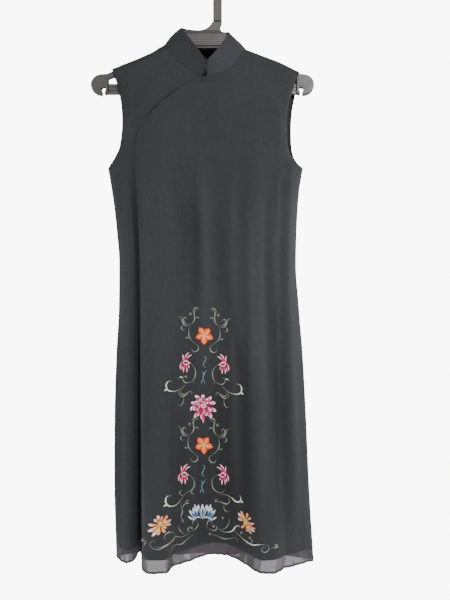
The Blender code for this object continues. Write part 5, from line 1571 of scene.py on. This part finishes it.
# A flower's layers from below: share of the root; how much longer and share of the tip; share of
# the bend; share of the width and how much wider; how much higher; full, point and tints.
STAR_RADIUS = 9.8
STAR_REACHES = (1.0, 0.95, 0.98, 0.93, 1.0)
STAR_BEND = 0.3
STAR_LAYERS = (
    (0.2, 0.9, 1, 0, 0.82, 0, 0, 0.95, 1.15, even(BRICK)),
    (0.4, -0.2, 1, 0, 0.68, 0, 0.25, 0.95, 1.1,
     ((0, ORANGE), (0.45, ORANGE), (0.85, TANGERINE), (1, PEACH))),
    (0.8, 0, 0.86, 1, 0, 2.2, 0.6, 0.9, PETAL_POINT, ((0, BUTTER), (0.35, PEACH), (1, TANGERINE))),
)
STAR_HEART = ((0.9, 0.3), (-0.8, 0.5), (0.0, -0.9))
STAR_KNOT, STAR_KNOT_LIFT = 0.9, 1.0
HEART_TINTS = ((0, BUTTER), (1, CREAM))


def star_flower(centre, turn):
    """Five pointed petals with a brick edge, an orange body, a peach blade and a butter knot."""
    for k, share in enumerate(STAR_REACHES):
        angle = math.radians(90 + 360 / len(STAR_REACHES) * k + turn)
        way = np.array((math.cos(angle), math.sin(angle)))
        yield from layered(centre, way, 1, STAR_RADIUS * share, STAR_BEND, STAR_RADIUS, 0,
                           STAR_LAYERS)
    for place in STAR_HEART:
        yield bud(np.array(centre) + place, STAR_KNOT, HEART_TINTS, STAR_KNOT_LIFT)


strands("embroidery_star_flowers",
        [*star_flower((204.3, 335.2), 2), *star_flower((203.6, 444.6), -4)], FLOSS)

SPIDER_LIFT, SPIDER_RISE = 0.12, 0.1        # of its petals, and of every next of three
EYE_LIFT, EYE_RISE = 1.1, 0.15
SPIDER_LAYERS = (
    (1, 0, 1.03, 1, 1, 0.75, 0, 1.1, PETAL_POINT, ((0, CRIMSON), (0.5, MAGENTA), (1, MAGENTA))),
    (1, 0, 1, 1, 1, 0, 0.3, 1.15, PETAL_POINT, ((0, ROSE), (0.3, ROSE), (0.6, BLUSH), (1, BLUSH))),
)


def spider_flower(centre, side):
    """A flower seen from its side: blush petals edged in magenta about a ringed eye."""
    flip = np.array((side, 1))
    root, tip, _, half_width = SPIDER_BASE
    yield petal(centre, root * flip, tip * flip, 0.0, half_width, even(MAGENTA), full=0.9)
    for k, (root, tip, bend, half_width) in enumerate(SPIDER_PETALS):
        yield from layered(centre, flip, root, tip, bend * side, half_width,
                           SPIDER_LIFT + SPIDER_RISE * (k % 3), SPIDER_LAYERS)
    for k, (height, width, half_width, tint) in enumerate(SPIDER_EYE):
        middle = np.array(centre) + (0, height)
        yield petal(middle, (-width, 0), (width, 0), 0.0, half_width, even(tint),
                    EYE_LIFT + EYE_RISE * k, full=1.0)


BIG_SEED = 11
BIG_TURN, BIG_RING_TURN = 0.12, 0.4         # radians back, and from one ring to the next
BIG_FLAT = 0.95           # height of its rings over their width
BIG_UNEVEN = (0.07, 0.12)                   # by chance, in a petal's reach and width
BIG_DROOP, BIG_SWAY = -1.5, 0.5             # bend of a petal at the side, and every other one's
BIG_RISE = 0.2            # of every other petal
BIG_LAYERS = (
    (1, 0.5, 1, 1, 1, 0.7, -0.15, 1.45, PETAL_POINT, even(CRIMSON)),
    (1, 0, 1, 1, 1, 0, 0, 1.45, PETAL_POINT, ((0, MAGENTA), (0.42, ROSE), (0.66, BLUSH), (1, BLUSH))),
)
BIG_BLADE = (1, 0, 0.84, 0.85, 0.6, 0, 0.32, 1.3, PETAL_POINT)
BIG_HEART = ((2.3, BLUSH), (1.2, ROSE))


def big_flower(centre):
    """Rings of drooping petals: a crimson edge, a blush petal and a rose blade up its middle."""
    yield bud(centre, BIG_GROUND, ((0, CRIMSON), (0.5, MAGENTA), (1, CRIMSON)), lift=-0.25)
    rng = np.random.default_rng(BIG_SEED)
    for ring, (count, inner, outer, half_width, lift) in enumerate(BIG_RINGS):
        for k in range(count):
            angle = 2 * math.pi * (k + 0.25) / count + math.pi / 2 - BIG_TURN + BIG_RING_TURN * ring
            way = np.array((math.cos(angle), BIG_FLAT * math.sin(angle)))
            reach = outer * (1 + BIG_UNEVEN[0] * rng.uniform(-1, 1))
            bend = BIG_DROOP * way[0] + BIG_SWAY * (-1) ** k
            wide = half_width * (1 + BIG_UNEVEN[1] * rng.uniform(-1, 1))
            blade = MAGENTA if k % 3 else ROSE
            layers = (*BIG_LAYERS, (*BIG_BLADE, ((0, CRIMSON), (0.6, blade), (1, blade))))
            yield from layered(centre, way, inner, reach, bend, wide, lift + BIG_RISE * (k % 2),
                               layers)
    for ring, (radius, tint) in enumerate(BIG_HEART):
        yield bud((centre[0] + 0.4, centre[1] - 1.4), radius, even(tint), lift=2.6 + 0.4 * ring)
    yield petal(centre, (0.2, 8.0), (0.3, 15.8), 0.0, 2.6, ((0, MAGENTA), (0.5, ROSE), (1, BLUSH)),
                lift=0.5, full=0.6)


flowers = list(big_flower((202.9, 407.0)))
for at_left, at_right in (((186.0, 362.6), (223.0, 364.2)), ((184.2, 474.2), (222.8, 474.6))):
    flowers += [*spider_flower(at_left, 1), *spider_flower(at_right, -1)]
strands("embroidery_pink_flowers", flowers, FLOSS)

RIBBON_TINTS = ((0.0, SKY), (0.25, PALE_SKY), (0.75, PALE_SKY), (1.0, SKY))
ribbons = [vine(row, RIBBON_TINTS, width=RIBBON_WIDTH) for row in RIBBONS]
strands("embroidery_ribbons", ribbons, FLOSS)

LOTUS_FILL = (PALE_SKY, SKY, PALE_SKY, SKY, SKY, NAVY, SKY)
LOTUS_RISE, LOTUS_FILL_LIFT = 0.12, 0.45    # of each petal over the one before, and of its fill
LOTUS_INSIDE = (0.1, 0.16)                  # how far the fill starts and ends inside the outline
OUTLINE_SHARES, FILL_SHARES = (0.6, 0.86), (0.55, 0.6)      # of the table's bend and width
OUTLINE_ROWS = 13


def lotus(centre):
    """Petals of a water lily from its side, each filled in blue with an icy outline a little wider."""
    for k, (root, tip, bend, half_width) in enumerate(LOTUS):
        root, tip, lift = np.array(root), np.array(tip), LOTUS_RISE * k
        yield petal(centre, root, tip, bend * OUTLINE_SHARES[0], half_width * OUTLINE_SHARES[1],
                    even(ICE), lift, full=1.05, count=OUTLINE_ROWS)
        inner_root = root + (tip - root) * LOTUS_INSIDE[0]
        inner_tip = tip + (root - tip) * LOTUS_INSIDE[1]
        tint = LOTUS_FILL[k // 2]
        yield petal(centre, inner_root, inner_tip, bend * FILL_SHARES[0],
                    half_width * FILL_SHARES[1], ((0, tint), (0.75, tint), (1, ICE)),
                    lift + LOTUS_FILL_LIFT, full=0.9)


strands("embroidery_lotus", list(lotus((202.1, 511.0))), FLOSS)

MUM_RISE = 0.05
MUM_EDGE = (1, 0, 1.03, 1, 1.55, 0, 0, 1.45, PETAL_POINT, even(BRICK))
MUM_BODY = (0.8, 0, 1, 1, 1.3, 0, 0.2, 1.5, PETAL_POINT)
MUM_BLADE = (0.9, 0, 0.72, 0.8, 0.4, 0, 0.5, 1.1, PETAL_POINT, ((0, BUTTER), (1, PEACH)))
MUM_HEART = ((0.0, -0.4), (1.4, 0.8), (-1.2, 0.9), (0.6, -1.6), (-0.8, -1.2))
MUM_KNOT, MUM_KNOT_LIFT, MUM_KNOT_RISE = 1.2, 0.9, 0.1


def mum(centre, petals):
    """Crowded petals from a cream heart: a brick edge, an orange body and a pale tip."""
    for k, (root, tip, bend, half_width, end) in enumerate(petals):
        body = (*MUM_BODY, ((0, ORANGE), (0.4, TANGERINE), (0.68, end), (1, SHELL_PINK)))
        yield from layered(centre, np.ones(2), root, tip, bend, half_width, MUM_RISE * k,
                           (MUM_EDGE, body, MUM_BLADE))
    for k, place in enumerate(MUM_HEART):
        yield bud(np.array(centre) + place, MUM_KNOT, HEART_TINTS,
                  MUM_KNOT_LIFT + MUM_KNOT_RISE * k)


strands("embroidery_orange_flowers",
        [*mum((160.2, 523.6), LEFT_MUM), *mum((246.4, 521.4), RIGHT_MUM)], FLOSS)

# ---------------------------------------------------------------- the hanger's middle
MIDDLE_X = (-45.0, 48.0)
MIDDLE_TOP = ((-45.0, -91.3), (25.0, -91.3), (48.0, -96.3))       # x, z
HANGER_FACE = 5.0
# How far its face stands off the hanger's, at heights below its top strip.
MIDDLE_FACE = (
    (-96.2, 2.9), (-96.4, 0.05), (-98.7, 0.05), (-99, 2.6), (-121.9, 2.6), (-122.3, 0.05), (-124, 0.05),
    (-124.4, 2.7), (-127, 2.6), (-127.6, 1.8),
)
RIB_PITCH, RIB_HEIGHT = 3.5, 0.22
RIBBED_Z = (-99.0, -122.5)
MIDDLE_POINTS, RIBBED_ROWS, STRIP_ROWS = 60, 50, 4
STRIP_FACE = (0.2, 2.7)   # of the top strip at its upper edge, and what it gains down to the groove


def hanger_middle():
    """The moulding's middle: for each x a closed loop, down its front face and up its back.

    The face is the hanger's plus the offsets above, with cosine ribs on the flat between the
    two grooves, and a strip above the upper groove that runs out at the top edge.
    """
    x = np.linspace(*MIDDLE_X, MIDDLE_POINTS)
    top = np.interp(x, *np.array(MIDDLE_TOP).T)
    table = np.array(MIDDLE_FACE)
    low = np.unique(np.concatenate((np.linspace(*RIBBED_Z, RIBBED_ROWS), table[:, 0])))[::-1]
    off = np.interp(-low, -table[:, 0], table[:, 1])
    flat = (low < RIBBED_Z[0]) & (low > RIBBED_Z[1])
    off += np.where(flat, RIB_HEIGHT * np.cos(2 * np.pi * low / RIB_PITCH), 0)
    strip = np.linspace(0, 1, STRIP_ROWS + 1)[:-1]
    z = np.concatenate((top[None] + (low[0] - top[None]) * strip[:, None],
                        np.broadcast_to(low[:, None], (len(low), len(x)))))
    proud = np.concatenate((STRIP_FACE[0] + STRIP_FACE[1] * strip ** 0.5, off))
    proud = proud[:, None] + np.zeros(len(x))
    front = np.stack((np.broadcast_to(x, z.shape), -HANGER_FACE - proud, z), axis=-1)
    back = front[::-1] * (1, -1, 1)
    loop = np.concatenate((front, back))[::-1].transpose(1, 0, 2)
    return strands("hanger_middle", [(loop, None, None)], PLASTIC)


hanger_middle()

# ---------------------------------------------------------------- carried-over solids
SOLIDS = dict.fromkeys(("hanger_shoulders", "hanger_bar", "hanger_hook"), PLASTIC)
SOLIDS |= dict.fromkeys(("collar_hook", "collar_eye"), WIRE)
SOLIDS |= dict.fromkeys((f"placket_snap_{k}" for k in range(1, 6)), STUD)
for node, mat in SOLIDS.items():
    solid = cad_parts[node]
    solid.data.materials.clear()
    solid.data.materials.append(mat)


# ---------------------------------------------------------------- floor, light and camera
FLOOR_REACH = 6000.0
# A light's name, place, the height it looks at in the dress's middle, size and power.
LIGHTS = (
    ("key", (500.0, -2300.0, 300.0), -560.0, 500.0, 75.0),
    ("left", (-1900.0, 350.0, -300.0), -620.0, 1300.0, 16.0),
    ("right", (1900.0, 250.0, -300.0), -620.0, 1300.0, 40.0),
    ("back", (-1100.0, 1900.0, 250.0), -620.0, 700.0, 75.0),
)


def floor():
    """A wide plain floor."""
    corners = np.array([(x, y, FLOOR_Z) for y in (-FLOOR_REACH, FLOOR_REACH)
                        for x in (-FLOOR_REACH, FLOOR_REACH)])
    mesh = bpy.data.meshes.new("floor")
    mesh.from_pydata((corners * MM).tolist(), [], [(0, 1, 3, 2)])
    obj = bpy.data.objects.new("floor", mesh)
    mesh.materials.append(pale_floor())
    bpy.context.scene.collection.objects.link(obj)


def area_light(name, place, height, size, power):
    """A soft square light that looks at the dress's middle at a height."""
    lamp = bpy.data.lights.new(name, "AREA")
    lamp.size = size * MM
    lamp.energy = power
    obj = bpy.data.objects.new(name, lamp)
    obj.location = [c * MM for c in place]
    toward = np.array((0.0, 0.0, height)) - np.array(place)
    obj.rotation_euler = Vector(toward).to_track_quat("-Z", "Y").to_euler()
    bpy.context.scene.collection.objects.link(obj)


def white_world():
    """An even white surround, brighter where it is looked at than where it lights."""
    world = bpy.data.worlds.new("studio")
    world.use_nodes = True
    ambient = world.node_tree.nodes["Background"]
    bright = world.node_tree.nodes.new("ShaderNodeBackground")
    for shader, strength in ((ambient, AMBIENT), (bright, SCREEN_WHITE)):
        shader.inputs["Color"].default_value = (1.0, 1.0, 1.0, 1.0)
        shader.inputs["Strength"].default_value = strength
    lit_and_seen(world.node_tree, ambient, bright, "World Output")
    bpy.context.scene.world = world


floor()
white_world()
for light in LIGHTS:
    area_light(*light)

camera = bpy.data.cameras.new("camera")
camera.sensor_fit = "VERTICAL"
camera.angle = 2 * math.atan(VIEW_HEIGHT / 2 / -EYE[1])
camera_object = bpy.data.objects.new("camera", camera)
camera_object.location = [c * MM for c in EYE]
camera_object.rotation_euler = (math.radians(90), 0, 0)
bpy.context.scene.collection.objects.link(camera_object)
bpy.context.scene.camera = camera_object
